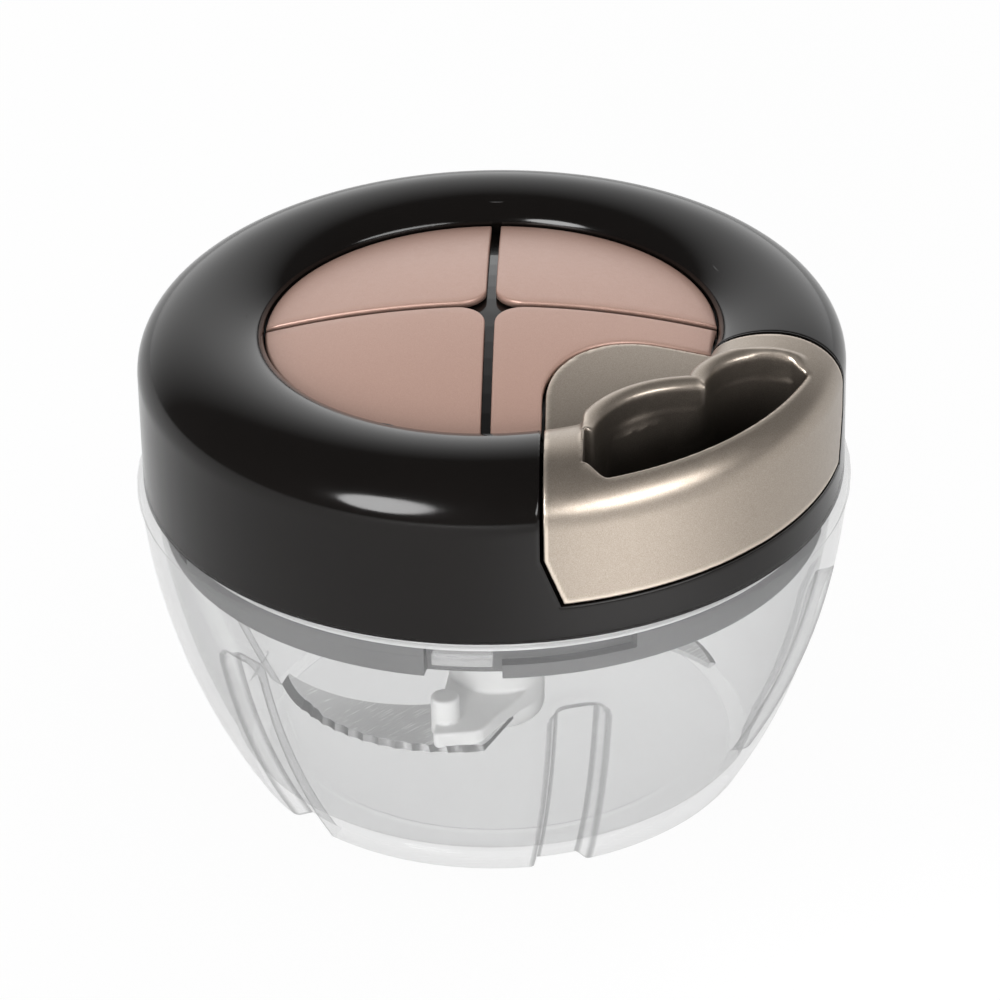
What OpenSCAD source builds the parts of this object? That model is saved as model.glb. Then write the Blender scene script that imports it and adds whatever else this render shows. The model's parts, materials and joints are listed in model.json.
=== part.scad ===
// Pull-string food chopper: a clear bowl with a bladed spindle, closed by a lid that
// holds a cord reel, its return spring and a one-way clutch. A pull handle sits flush
// in one quarter of the lid. Millimetres, +Z up, +X the way the handle is pulled,
// origin on the table at the middle of the bowl's foot.

/* [Bowl] */
// Outer radius of the rim flange
rim_r = 61; // [59:0.5:66]
// Height of the rim above the table
bowl_h = 54; // [50:0.5:64]
// Radius of the foot where the wall meets the table
foot_r = 44; // [40:0.5:46]
// Radius of the arc that the side wall follows
wall_curve_r = 119; // [95:1:160]
// Wall thickness
bowl_t = 2.4; // [1.8:0.1:3]
// Floor thickness
floor_t = 2.4; // [1.8:0.1:3.4]
// Depth of the hollow under the floor
foot_recess = 1.2; // [0.6:0.1:1.6]
// Width of the standing ring under the foot
foot_ring_w = 4; // [3.5:0.1:6]
// Radius between floor and wall inside
floor_round = 6; // [4:0.5:8]
// How far the rim flange stands out from the wall
rim_step = 0.3; // [0.1:0.1:0.8]
// Height of the rim flange
rim_h = 1.6; // [1:0.1:3]

/* [Bowl flutes] */
// Number of flutes round the wall
flute_n = 6; // [4:1:8]
// Width of a flute
flute_w = 9.5; // [7:0.5:12]
// Depth of a flute
flute_d = 2.8; // [2:0.1:3.2]
// Height of a flute's round top
flute_top = 41; // [30:0.5:44]
// Turn of the first flute from the handle's line
flute_turn = 30; // [0:1:60]

/* [Bayonet] */
// Number of lugs inside the rim
lug_n = 4; // [3:1:4]
// Angle that a lug covers
lug_angle = 10; // [8:0.5:12]
// Height of a lug
lug_h = 2.3; // [1.6:0.1:2.6]
// Depth of a lug's top below the rim
lug_drop = 2.7; // [2.4:0.1:3]
// Turn of the first lug from the handle's line
lug_turn = -48.8; // [-56:0.1:-42]
// Turn of the lid from open to locked
lock_angle = 23; // [18:0.5:26]
// Depth of a track in the lid's skirt
track_d = 2; // [1.6:0.1:2.4]
// Room between a lug and its track
track_gap = 0.4; // [0.3:0.1:0.6]

/* [Lid] */
// How far the rim flange stands out past the lid's wall
rim_proud = 1.2; // [0.6:0.1:2]
// Gap between the rim and the lid's wall
lid_gap = 0.5; // [0.3:0.1:1]
// Height of the lid's upright wall
lid_wall_h = 20.2; // [18:0.1:26]
// Width of the round shoulder, from the wall to the crest
shoulder_w = 12; // [10:0.5:14]
// Height of the round shoulder
shoulder_h = 9.6; // [8:0.1:12]
// Width of the dish, from the crest to the panels
dish_w = 9.4; // [8:0.1:11]
// Depth of the dish
dish_depth = 4.3; // [3.5:0.1:5]
// Wall thickness of the lid housing
lid_t = 2.4; // [2:0.1:3]
// Height of the skirt that hangs into the bowl
skirt_h = 8.5; // [8:0.1:11]
// Thickness of the skirt
skirt_t = 4; // [3.4:0.1:5]
// Room between the skirt and the bowl
skirt_gap = 0.9; // [0.8:0.1:1.4]
// Thickness of the lip seal
seal_t = 1.2; // [1:0.1:1.5]
// Thickness of the lid's floor plate
plate_t = 2.4; // [2:0.1:3]

/* [Panels] */
// Rise of the panels from their edge to the middle
panel_rise = 5; // [3:0.1:7]
// Thickness of a panel
panel_t = 1.6; // [1.2:0.1:2]
// Width of the cross between the panels
cross_gap = 1.6; // [1:0.1:2.4]
// Corner radius of the panels round the star in the middle
star_round = 5; // [3:0.5:8]
// Gap between the panels and the ring
panel_gap = 0.35; // [0.2:0.05:0.6]

/* [Handle] */
// Distance from a cross line to the handle's side
cut_offset = 9.7; // [8.5:0.1:12]
// Radius of the handle's inner corner
tongue_round = 18; // [14:0.5:20]
// Gap round the handle
seam = 0.6; // [0.4:0.1:0.9]
// Height of the lid's strip below the handle
strip_h = 6.9; // [6:0.1:8]
// Height of the slanted lower corners
corner_h = 8.3; // [6:0.1:9]
// How far the lower corners slant in
corner_w = 3.1; // [2:0.1:3.5]
// Wall thickness of the handle
handle_t = 2.2; // [1.8:0.1:2.6]
// Thickness of the tongue beside the panels
tongue_t = 2.2; // [1.8:0.1:2.4]
// Distance from the lid's wall to the finger opening
heart_edge = 3.9; // [3.4:0.1:4.4]
// Radius of the opening's wide lobe
lobe_r = 16.4; // [15:0.1:17]
// Middle of the wide lobe, in from the lid's wall
lobe_in = 4.6; // [4:0.1:5.5]
// Middle of the wide lobe, to the side of the handle's line
lobe_side = 6.8; // [6:0.1:7.5]
// Radius of the opening's small lobe
small_r = 10.7; // [10:0.1:11.5]
// Middle of the small lobe, in from the lid's wall
small_in = 7.3; // [6.5:0.1:8]
// Middle of the small lobe, to the other side
small_side = 13.7; // [13:0.1:14.5]
// Thickness of the wall round the finger opening
heart_t = 1.8; // [1.5:0.1:2.2]
// Width of the bead round the lobes
bead_w = 3.2; // [2.6:0.1:3.6]
// Height of the bead above the crest
bead_rise = 0.5; // [0.2:0.1:1]
// Width of the ring that is left beside the finger opening
stub_w = 6.5; // [5:0.1:7]
// Length of the opening's corner beside the stub
notch_len = 5.3; // [4:0.1:6]
// Length of the boss that holds the knot
boss_len = 6; // [5:0.1:7]

/* [Blades] */
// Radius of the blade hub
hub_r = 6.8; // [6.4:0.1:8]
// Height of the lower blade above the bowl's floor
blade_lift = 5.4; // [5:0.1:8]
// Step from the lower to the upper blade
blade_step = 5; // [4.5:0.1:12]
// Thickness of a blade
blade_t = 1; // [0.6:0.1:1.4]
// Angle of the lower blade's arm
blade_turn = -76; // [-180:1:180]
// Radius of the cutting edge's arc
edge_r = 25.8; // [24:0.1:27]
// Middle of the cutting edge's arc, along the arm
edge_x = 4.5; // [3:0.1:6]
// Middle of the cutting edge's arc, behind the arm
edge_back = 11.5; // [10:0.1:13]
// Radius of the hollow back
back_curve_r = 27.5; // [26:0.1:29]
// Middle of the hollow back, before the axis
hollow_x = 4; // [3:0.1:6]
// Middle of the hollow back, behind the arm
hollow_back = 30; // [29:0.1:32]
// How far a blade's root reaches to the side of its arm
root_side = 12; // [10:0.5:14]
// Distance of a blade's root from the hub
root_gap = 1; // [0.5:0.1:1.5]
// Width of the ground bevel
bevel_w = 1.6; // [0.8:0.1:2]
// Length of an arm from the axis
arm_len = 20; // [18:0.5:22]
// Width of an arm
arm_w = 11; // [8:0.5:12]
// Height of an arm
arm_h = 3.6; // [3:0.1:4]
// Radius of the peg that carries a blade
peg_r = 2.5; // [2:0.1:3]
// Distance of a peg from the axis
peg_at = 14.2; // [13:0.1:16]
// Height of a peg above its arm
peg_h = 5; // [3:0.1:6]
// Radius of the pivot pin in the bowl
pin_r = 2; // [1.5:0.1:2.6]
// Length of the pivot pin above the floor
pin_len = 11; // [8:0.5:16]

/* [Drive] */
// Radius of the drive shaft
shaft_r = 3; // [2.5:0.1:3.4]
// Radial play of a running fit
run_fit = 0.05; // [0.02:0.01:0.09]
// Gap between parts that turn past each other
turn_gap = 0.3; // [0.2:0.05:0.5]
// Radius of the socket in the hub
socket_r = 5.4; // [5.2:0.1:5.6]
// Depth of the socket in the hub
socket_d = 11; // [8:0.5:16]
// Angle that a dog of the coupling covers
dog_angle = 32; // [26:1:40]
// Length of the shaft below the lid's floor
shaft_drop = 14; // [11:0.5:18]
// Outer radius of the ratchet wheel
ratchet_r = 13; // [12:0.1:14]
// Height of a ratchet tooth
tooth_h = 2; // [1.6:0.1:2.4]
// Number of ratchet teeth
tooth_n = 12; // [8:2:16]
// Thickness of the ratchet wheel and pawls
ratchet_t = 3.2; // [2.6:0.1:3.6]
// Distance of the pawl pins from the axis
pawl_at = 20; // [19:0.1:22]
// Radius of the pawl pins
pawl_pin_r = 1.2; // [1:0.1:1.4]
// Angle from a pawl's pin to its tip
pawl_reach = 35; // [30:1:38]
// Play between a pawl's tip and its tooth
pawl_play = 1; // [0.8:0.1:1.4]

/* [Reel] */
// Room between the reel's flanges and the chamber's wall
reel_room = 4; // [3:0.5:6]
// Thickness of a flange
flange_t = 1.5; // [1.2:0.1:2]
// Radius of the reel's drum
drum_r = 19.5; // [18:0.5:21]
// Room for cord between the flanges
drum_h = 6; // [5:0.1:7]
// Depth of the cord wound on the drum
wound_t = 3.6; // [2:0.1:4]
// Radius of the cord
cord_r = 0.9; // [0.7:0.1:1]
// Height of the spring cup
cup_h = 3.9; // [3.4:0.1:4.4]
// Thickness of the spring strip
strip_t = 0.8; // [0.5:0.1:1]
// Number of turns of the spring
spring_turns = 6; // [4:1:7]
// Radius of the fixed arbor
arbor_r = 6; // [5.6:0.1:7]
// Bore radius of the cord eyelet
eyelet_r = 2; // [1.8:0.1:2.2]

/* [Screws] */
// Radius of a screw's shank
screw_r = 1.4; // [1.2:0.1:1.6]
// Radius of a screw's head
screw_head_r = 2.9; // [2.5:0.1:3.2]
// Height of a screw's head
screw_head_h = 1.9; // [1.4:0.1:2.2]
// Length of a screw's shank
screw_len = 11; // [8:0.5:14]
// Distance of the screws from the axis
screw_at = 44.5; // [43:0.5:48]

/* [Hidden] */
$fn = 96;
eps = 0.01;
far = 2 * rim_r;

// Bowl side: the arc through the foot and the rim
wall_top_r = rim_r - rim_step;
chord = norm([wall_top_r - foot_r, bowl_h]);
chord_rise = sqrt(pow(wall_curve_r, 2) - pow(chord / 2, 2)) / chord;
wall_cx = (foot_r + wall_top_r) / 2 - bowl_h * chord_rise;
wall_cz = bowl_h / 2 + (wall_top_r - foot_r) * chord_rise;
function wall_r(z) = wall_cx + sqrt(pow(wall_curve_r, 2) - pow(z - wall_cz, 2));
floor_z = foot_recess + floor_t;
pin_z = foot_recess + floor_t / 4;

// Lid levels
lid_r = rim_r - rim_proud;
crest_r = lid_r - shoulder_w;
panel_r = crest_r - dish_w;
lid_z = bowl_h + lid_gap;
shoulder_z = lid_z + lid_wall_h;
crest_z = shoulder_z + shoulder_h;
panel_z = crest_z - dish_depth;
seat_gap = 0.1;
plate_z = lid_z + seat_gap;
plate_top = plate_z + plate_t;
skirt_z = plate_z - skirt_h;
skirt_r = wall_r(skirt_z) - bowl_t - skirt_gap;
chamber_r = panel_r - lid_t;
flange_r = chamber_r - reel_room;

// Bayonet levels
lug_top = bowl_h - lug_drop;
lug_in_r = skirt_r - track_d + track_gap;

// Seal above the lugs, and its seat on the skirt
seal_z = lug_top + track_gap + seat_gap;
seal_out_r = wall_r(seal_z) - bowl_t - turn_gap;
seal_in_r = seal_out_r - seal_t;

// Small sizes of the drive
bush_t = 1.8;
bush_r = shaft_r + bush_t;
bush_flange_t = 0.5;
bush_flange_w = 2;
dog_wall = 0.8;
dog_core_r = shaft_r + dog_wall;
dog_floor = 1;
top_bearing = 1;
clip_t = 0.7;
clip_groove = 0.5;
cover_t = 0.8;
boss_drop = 3.3;
hub_gap = 1.3;

// Stack inside the lid
ratchet_z = plate_top + bush_flange_t + turn_gap;
reel_z = ratchet_z + ratchet_t + turn_gap;
drum_z = reel_z + flange_t;
cup_z = drum_z + drum_h + flange_t;
cover_z = cup_z + cup_h;
ceiling_z = cover_z + cover_t + turn_gap;
boss_z = plate_z - boss_drop;
hub_top = boss_z - hub_gap;
floor_boss_h = 0.4;
clip_z = hub_top + turn_gap;
hub_z = floor_z + floor_boss_h + turn_gap;
lower_z = floor_z + blade_lift;
upper_z = lower_z + blade_step;
dog_z = plate_z - shaft_drop;
cord_z = drum_z + drum_h / 2;

// Cord leaving the drum, on top of what is wound, towards the eyelet on the handle's line
wound_r = drum_r + wound_t;
lead_r = wound_r + cord_r + turn_gap;
eyelet_t = 0.8;
eyelet_x = chamber_r - turn_gap;
lead_in = 3;
bend_x = eyelet_x - lead_in;
leave_angle = -acos(lead_r / bend_x);

// Screws stand clear of the handle
screw_angles = [67.5, 135, 225, 292.5];

// Handle
handle_z = lid_z + strip_h;
back_r = panel_r + seam;
heart_r = lid_r - heart_edge;
lobe_x = lid_r - lobe_in;
small_x = lid_r - small_in;
stub_at = cut_offset + stub_w;
notch_w = 4;
notch_slant = 2.1;
notch_at = heart_r - notch_len - notch_slant - bead_w - run_fit;
pocket_lap = 0.2;
slope_h = 3.4;
bead_z = crest_z + bead_rise - bead_w / 2;
boss_x = back_r + handle_t / 2;
boss_end = boss_x + boss_len;
knot_r = 2 * cord_r;
knot_x = boss_end - knot_r / 2 - turn_gap;

// Arc of an ellipse round (cx, cy), from angle a0 to a1
function arc(cx, cy, rx, ry, a0, a1, n) =
    [for (i = [0:n]) let (a = a0 + (a1 - a0) * i / n) [cx + rx * cos(a), cy + ry * sin(a)]];

// The list p without its first point, for joining arcs end to end
function tail(p) = [for (i = [1:len(p) - 1]) p[i]];

// Height of the panels' dome at radius r, lowered by t
function dome(r, t) = panel_z - t + panel_rise * (1 - pow(r / panel_r, 2));
function dome_line(r, t) = [for (i = [0:8]) let (q = r * (1 - i / 8)) [q, dome(q, t)]];

// Two sides at right angles, d from the cross lines, meeting in a round corner
function quarter(d, corner) =
    let (tip = d * sqrt(2), c = tip + corner * sqrt(2))
    concat(arc(c, 0, corner, corner, 225, 135, 12),
           [[far, far - tip], [far, tip - far]]);

module tube(r_in, r_out, z0, h) {
    translate([0, 0, z0]) difference() {
        cylinder(r = r_out, h = h);
        translate([0, 0, -1]) cylinder(r = r_in, h = h + 2);
    }
}

// Part of a ring between two angles
module sector(r_in, r_out, z0, h, a0, a1) {
    rotate([0, 0, a0]) rotate_extrude(angle = a1 - a0)
        translate([r_in, z0]) square([r_out - r_in, h]);
}

// Solid of the bowl's outer form, drawn in by t
module bowl_form(t, z0) {
    rotate_extrude() polygon(concat(
        [[0, z0]],
        [for (i = [0:14]) let (z = z0 + (bowl_h - z0) * i / 14) [wall_r(z) - t, z]],
        [[0, bowl_h]]));
}

module bowl_cavity() {
    corner_z = floor_z + floor_round;
    corner_r = wall_r(corner_z) - bowl_t - floor_round;
    rotate_extrude() polygon(concat(
        [[0, floor_z]],
        arc(corner_r, corner_z, floor_round, floor_round, -90, 0, 6),
        [for (i = [1:12]) let (z = corner_z + (bowl_h - corner_z) * i / 12) [wall_r(z) - bowl_t, z]],
        [[wall_r(bowl_h) - bowl_t, bowl_h + 1], [0, bowl_h + 1]]));
}

// Round-topped upright slab that a flute is cut with
module flute_slab(w, top) {
    translate([foot_r / 2, 0, 0]) rotate([90, 0, 90]) linear_extrude(rim_r) union() {
        translate([-w / 2, -foot_ring_w]) square([w, top - w / 2 + foot_ring_w]);
        translate([0, top - w / 2]) circle(r = w / 2);
    }
}

module at_flutes() {
    for (k = [0:flute_n - 1]) rotate([0, 0, flute_turn + k * 360 / flute_n]) children();
}

module bowl() {
    color([0.86, 0.88, 0.9, 0.45]) difference() {
        union() {
            difference() {
                union() {
                    bowl_form(0, 0);
                    translate([0, 0, bowl_h - rim_h]) cylinder(r = rim_r, h = rim_h);
                }
                bowl_cavity();
            }
            at_flutes() intersection() {
                flute_slab(flute_w + 2 * bowl_t, flute_top + bowl_t);
                difference() {
                    bowl_form(bowl_t / 2, 0);
                    bowl_form(flute_d + bowl_t, -foot_ring_w);
                }
                translate([0, 0, floor_z - floor_t / 2]) cylinder(r = rim_r, h = bowl_h);
            }
            for (k = [0:lug_n - 1]) rotate([0, 0, lug_turn + k * 360 / lug_n])
                sector(lug_in_r, wall_r(lug_top) - bowl_t / 2, lug_top - lug_h, lug_h,
                       -lug_angle / 2, lug_angle / 2);
            translate([0, 0, foot_recess]) cylinder(r = 2 * pin_r, h = floor_t + floor_boss_h);
        }
        at_flutes() difference() {
            flute_slab(flute_w, flute_top);
            bowl_form(flute_d, -foot_ring_w - 1);
        }
        translate([0, 0, -1]) cylinder(r = foot_r - foot_ring_w, h = foot_recess + 1);
        translate([0, 0, pin_z]) cylinder(r = pin_r, h = bowl_h);
    }
}

module pivot_pin() {
    point_h = 1;
    top = floor_z + pin_len;
    color("silver") {
        translate([0, 0, pin_z]) cylinder(r = pin_r, h = top - point_h - pin_z);
        translate([0, 0, top - point_h - eps]) cylinder(r1 = pin_r, r2 = pin_r / 2, h = point_h);
    }
}

// Arm and peg that carry a blade whose underside is at height z
module blade_arm(z) {
    translate([0, 0, z - arm_h]) {
        translate([0, -arm_w / 2, 0]) cube([arm_len - arm_w / 2, arm_w, arm_h]);
        translate([arm_len - arm_w / 2, 0, 0]) cylinder(r = arm_w / 2, h = arm_h);
        translate([peg_at, 0, 0]) cylinder(r = peg_r, h = arm_h + peg_h);
    }
}

module blade_hub() {
    color("white") difference() {
        union() {
            translate([0, 0, hub_z]) cylinder(r = hub_r, h = hub_top - hub_z);
            rotate([0, 0, blade_turn]) blade_arm(lower_z);
            rotate([0, 0, blade_turn + 180]) blade_arm(upper_z);
        }
        translate([0, 0, hub_z - 1]) cylinder(r = pin_r + run_fit, h = floor_z + pin_len - hub_z + 2);
        difference() {
            translate([0, 0, hub_top - socket_d]) cylinder(r = socket_r, h = socket_d + 1);
            for (a = [0, 180]) sector(dog_core_r + turn_gap, hub_r, hub_top - socket_d - 1, socket_d + 3,
                                      a, a + dog_angle);
        }
    }
}

// Scimitar blade along +X: convex cutting edge, hollow back, root beside the hub
module blade(z) {
    translate([0, 0, z + run_fit]) difference() {
        intersection() {
            translate([edge_x, -edge_back, 0]) cylinder(r1 = edge_r, r2 = edge_r - bevel_w, h = blade_t);
            translate([hub_r + root_gap, -far, -1]) cube([far, far + root_side, blade_t + 2]);
        }
        translate([-hollow_x, -hollow_back, -1]) cylinder(r = back_curve_r, h = blade_t + 2);
        translate([peg_at, 0, -1]) cylinder(r = peg_r + run_fit, h = blade_t + 2);
    }
}

module lower_blade() {
    color("gainsboro") rotate([0, 0, blade_turn]) blade(lower_z);
}

module upper_blade() {
    color("gainsboro") rotate([0, 0, blade_turn + 180]) blade(upper_z);
}

// Lip seal between the skirt and the bowl, above the lugs
module seal_ring() {
    top = plate_z - turn_gap;
    bead_t = 0.3;
    bead_h = 0.7;
    color("lightgray") {
        tube(seal_in_r, seal_out_r - bead_t, seal_z, top - seal_z);
        for (z = [seal_z + bead_t, top - bead_t - bead_h]) tube(seal_in_r, seal_out_r, z, bead_h);
    }
}

// Solid of the lid's outer form from height z0 up, drawn in by t
module lid_form(z0, t) {
    rotate_extrude() polygon(concat(
        [[0, z0], [lid_r - t, z0]],
        arc(crest_r, shoulder_z, shoulder_w - t, shoulder_h - t, 0, 90, 12),
        tail(arc(crest_r, panel_z - t, dish_w, dish_depth, 90, 180, 10)),
        tail(dome_line(panel_r, t))));
}

// Hollow of the lid's ring from radius r out, t inside its outer form, from height z0 up
module ring_hollow(r, t, z0) {
    rotate_extrude() polygon(concat(
        [[r, z0], [lid_r - t, z0]],
        arc(crest_r, shoulder_z, shoulder_w - t, shoulder_h - t, 0, 90, 12),
        tail(arc(crest_r, panel_z - t, dish_w, dish_depth, 90, 180 - acos((crest_r - r) / dish_w), 10))));
}

// Everything below the dome lowered by t, out to radius r
module under_dome(r, t) {
    rotate_extrude() polygon(concat([[0, lid_z - 1], [r, lid_z - 1]], dome_line(r, t)));
}

// Block with the handle's plan, grown by g, from height z0 up; its lower corners slant in
module handle_block(g, z0) {
    tip = (cut_offset - g) * sqrt(2);
    slant = corner_w / corner_h;
    top = handle_z + corner_h;
    difference() {
        translate([0, 0, z0]) linear_extrude(crest_z + far - z0)
            polygon(quarter(cut_offset - g, tongue_round + g));
        for (side = [0, 1]) mirror([0, side, 0]) translate([tip, 0, 0]) rotate([0, 0, 45])
            rotate([90, 0, 90]) linear_extrude(far)
                polygon([[far, top + 1], [slant, top + 1],
                         [-slant * (top - z0 + 1), z0 - 1], [far, z0 - 1]]);
    }
}

module at_screws() {
    for (a = screw_angles) rotate([0, 0, a]) translate([screw_at, 0, 0]) children();
}

module lid_housing() {
    boss_r = 2.5 * screw_r;
    wall_in = lid_r - lid_t;
    color([0.16, 0.15, 0.15]) {
        difference() {
            union() {
                difference() {
                    lid_form(lid_z, 0);
                    ring_hollow(panel_r, lid_t, lid_z - 1);
                }
                intersection() {
                    lid_form(lid_z, 0);
                    handle_block(seam + lid_t, handle_z - seam - lid_t);
                }
                at_screws() translate([0, 0, plate_top + run_fit])
                    cylinder(r = boss_r, h = crest_z - lid_t / 2 - plate_top);
            }
            translate([0, 0, lid_z - 1]) cylinder(r = chamber_r, h = ceiling_z - lid_z + 1);
            translate([0, 0, lid_z - 1]) cylinder(r = wall_in, h = plate_top - lid_z + 1);
            difference() {
                translate([0, 0, lid_z]) cylinder(r = panel_r, h = far);
                under_dome(panel_r + 1, panel_t + run_fit);
            }
            difference() {
                handle_block(seam, handle_z - seam);
                translate([0, 0, lid_z - 1]) cylinder(r = panel_r, h = far);
            }
            difference() {
                intersection() {
                    handle_block(seam, handle_z);
                    translate([0, 0, handle_z]) cylinder(r = panel_r + 1, h = far);
                }
                under_dome(panel_r + 2, tongue_t + seam);
            }
            at_screws() translate([0, 0, plate_top - 1]) cylinder(r = screw_r, h = screw_len + 1);
            translate([chamber_r - 2, 0, cord_z]) rotate([0, 90, 0])
                cylinder(r = eyelet_r + eyelet_t + run_fit, h = lid_t + 4);
            translate([0, 0, ceiling_z - 1]) cylinder(r = shaft_r + run_fit, h = 1 + top_bearing);
        }
        tube(shaft_r + run_fit, arbor_r, cup_z + turn_gap, ceiling_z - cup_z - turn_gap + eps);
    }
}

// One rose panel, its middle turned to angle a
module panel(a) {
    rotate([0, 0, a]) intersection() {
        difference() {
            under_dome(panel_r - panel_gap, 0);
            under_dome(panel_r + 1, panel_t);
        }
        translate([0, 0, lid_z]) linear_extrude(far) polygon(quarter(cross_gap / 2, star_round));
    }
}

module panel_front() {
    color("rosybrown") difference() {
        panel(0);
        handle_block(seam, handle_z);
    }
}

module panel_left() {
    color("rosybrown") panel(90);
}

module panel_back() {
    color("rosybrown") panel(180);
}

module panel_right() {
    color("rosybrown") panel(270);
}

// Floor of the lid: plate, boss for the bush and the skirt with the bayonet tracks
module lid_base() {
    mouth_room = 1.5;
    mouth_depth = track_d + track_gap / 2;
    half = lug_angle / 2 + mouth_room;
    track_z = lug_top - lug_h - track_gap;
    color("gray") difference() {
        union() {
            translate([0, 0, plate_z]) cylinder(r = lid_r - lid_t - seat_gap, h = plate_t);
            tube(skirt_r - skirt_t, skirt_r, skirt_z, seal_z - seat_gap - skirt_z);
            tube(skirt_r - skirt_t, seal_in_r - run_fit, seal_z - seat_gap - eps,
                 plate_z - seal_z + seat_gap + 2 * eps);
            translate([0, 0, boss_z]) cylinder(r = hub_r + 1, h = plate_z - boss_z + eps);
        }
        for (k = [0:lug_n - 1]) rotate([0, 0, lug_turn + k * 360 / lug_n]) {
            sector(skirt_r - mouth_depth, rim_r, skirt_z - 1, lug_top + turn_gap - skirt_z + 1, -half, half);
            sector(skirt_r - track_d, rim_r, track_z, lug_h + 2 * track_gap, 0, lock_angle + half);
        }
        translate([0, 0, boss_z - 1]) cylinder(r = bush_r, h = plate_top - boss_z + 2);
        at_screws() translate([0, 0, plate_z - 1]) cylinder(r = screw_r + turn_gap, h = plate_t + 2);
    }
}

module base_screws() {
    slot_len = 1.2 * screw_head_r;
    slot_w = 0.3 * screw_head_r;
    color("silver") at_screws() {
        translate([0, 0, plate_z]) cylinder(r = screw_r, h = plate_t + screw_len - turn_gap);
        translate([0, 0, plate_z - screw_head_h]) difference() {
            cylinder(r = screw_head_r, h = screw_head_h);
            for (a = [0, 90]) rotate([0, 0, a])
                cube([slot_len, slot_w, screw_head_h], center = true);
        }
    }
}

module shaft_bush() {
    color("goldenrod") {
        tube(shaft_r + run_fit, bush_r, boss_z, plate_top - boss_z + eps);
        tube(shaft_r + run_fit, bush_r + bush_flange_w, plate_top, bush_flange_t);
    }
}

module cord_eyelet() {
    color("silver") translate([0, 0, cord_z]) rotate([0, 90, 0]) {
        tube(eyelet_r, eyelet_r + eyelet_t, eyelet_x - eyelet_t, back_r - eyelet_x);
        tube(eyelet_r, eyelet_r + 2 * eyelet_t, eyelet_x - eyelet_t, eyelet_t);
    }
}

// Flat spiral spring from the fixed arbor out to the reel's cup
module mainspring() {
    r0 = arbor_r + turn_gap;
    r1 = flange_r - 2 * flange_t - turn_gap - strip_t;
    steps = 24 * spring_turns;
    z0 = cup_z + turn_gap;
    spiral = [for (i = [0:steps]) let (a = 360 * spring_turns * i / steps) [r0 + (r1 - r0) * i / steps, a]];
    inner = [for (p = spiral) p[0] * [cos(p[1]), sin(p[1])]];
    outer = [for (i = [steps:-1:0]) (spiral[i][0] + strip_t) * [cos(spiral[i][1]), sin(spiral[i][1])]];
    color("slategray") translate([0, 0, z0]) linear_extrude(cup_h - 2 * turn_gap)
        polygon(concat(inner, outer));
}

// Cord from the drum through the eyelet to the knot: points along its middle
bend_len = 4;
cord_path =
    let (leave = lead_r * [cos(leave_angle), sin(leave_angle)],
         bend = [bend_x, 0],
         first = bend + bend_len * (leave - bend) / norm(leave - bend),
         last = bend + [bend_len, 0])
    concat([for (i = [0:4]) leave + (first - leave) * i / 4],
           [for (t = [0.25, 0.5, 0.75]) pow(1 - t, 2) * first + 2 * t * (1 - t) * bend + t * t * last],
           [last, [knot_x - knot_r - run_fit, 0]]);

// Tube of radius r swept along flat points p at height z
module swept(p, r, z, sides) {
    n = len(p);
    dir = [for (i = [0:n - 1]) let (d = p[min(i + 1, n - 1)] - p[max(i - 1, 0)]) d / norm(d)];
    points = [for (i = [0:n - 1], k = [0:sides - 1]) let (a = 360 * k / sides)
        [p[i][0] - dir[i][1] * r * cos(a), p[i][1] + dir[i][0] * r * cos(a), z + r * sin(a)]];
    faces = concat(
        [[for (k = [0:sides - 1]) k]],
        [for (i = [0:n - 2], k = [0:sides - 1]) let (m = (k + 1) % sides)
            [i * sides + k, (i + 1) * sides + k, (i + 1) * sides + m, i * sides + m]],
        [[for (k = [sides - 1:-1:0]) (n - 1) * sides + k]]);
    polyhedron(points, faces);
}

module pull_cord() {
    color("white") swept(cord_path, cord_r, cord_z, 8);
}

module drive_shaft() {
    z0 = dog_z + dog_floor;
    color("silver") difference() {
        translate([0, 0, z0]) cylinder(r = shaft_r, h = ceiling_z + top_bearing - turn_gap - z0);
        tube(shaft_r - clip_groove, shaft_r + 1, clip_z, clip_t);
    }
}

// Coupling on the shaft's end: two dogs that push the lugs in the hub's socket
module drive_dog() {
    gap = asin(turn_gap / socket_r);
    dog_h = hub_top - dog_z - turn_gap;
    color("white") difference() {
        union() {
            translate([0, 0, dog_z]) cylinder(r = dog_core_r, h = dog_h);
            for (a = [0, 180]) sector(shaft_r + turn_gap, socket_r - turn_gap, dog_z, dog_h,
                                      a - gap - dog_angle, a - gap);
        }
        translate([0, 0, dog_z + dog_floor]) cylinder(r = shaft_r, h = shaft_drop);
    }
}

module shaft_clip() {
    mouth = 1.4 * shaft_r;
    color("dimgray") difference() {
        tube(shaft_r - clip_groove, bush_r, clip_z, clip_t);
        translate([0, -mouth / 2, clip_z - clip_t]) cube([far, mouth, 3 * clip_t]);
    }
}

// Saw teeth whose steep sides face the pawls
module ratchet_wheel() {
    step = 360 / tooth_n;
    teeth = [for (k = [0:tooth_n - 1], r = [ratchet_r - tooth_h, ratchet_r])
        r * [cos(k * step), sin(k * step)]];
    color("whitesmoke") translate([0, 0, ratchet_z]) difference() {
        linear_extrude(ratchet_t) polygon(teeth);
        translate([0, 0, -1]) cylinder(r = shaft_r, h = ratchet_t + 2);
    }
}

module at_pawls() {
    for (a = [0, 180]) rotate([0, 0, a]) children();
}

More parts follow.
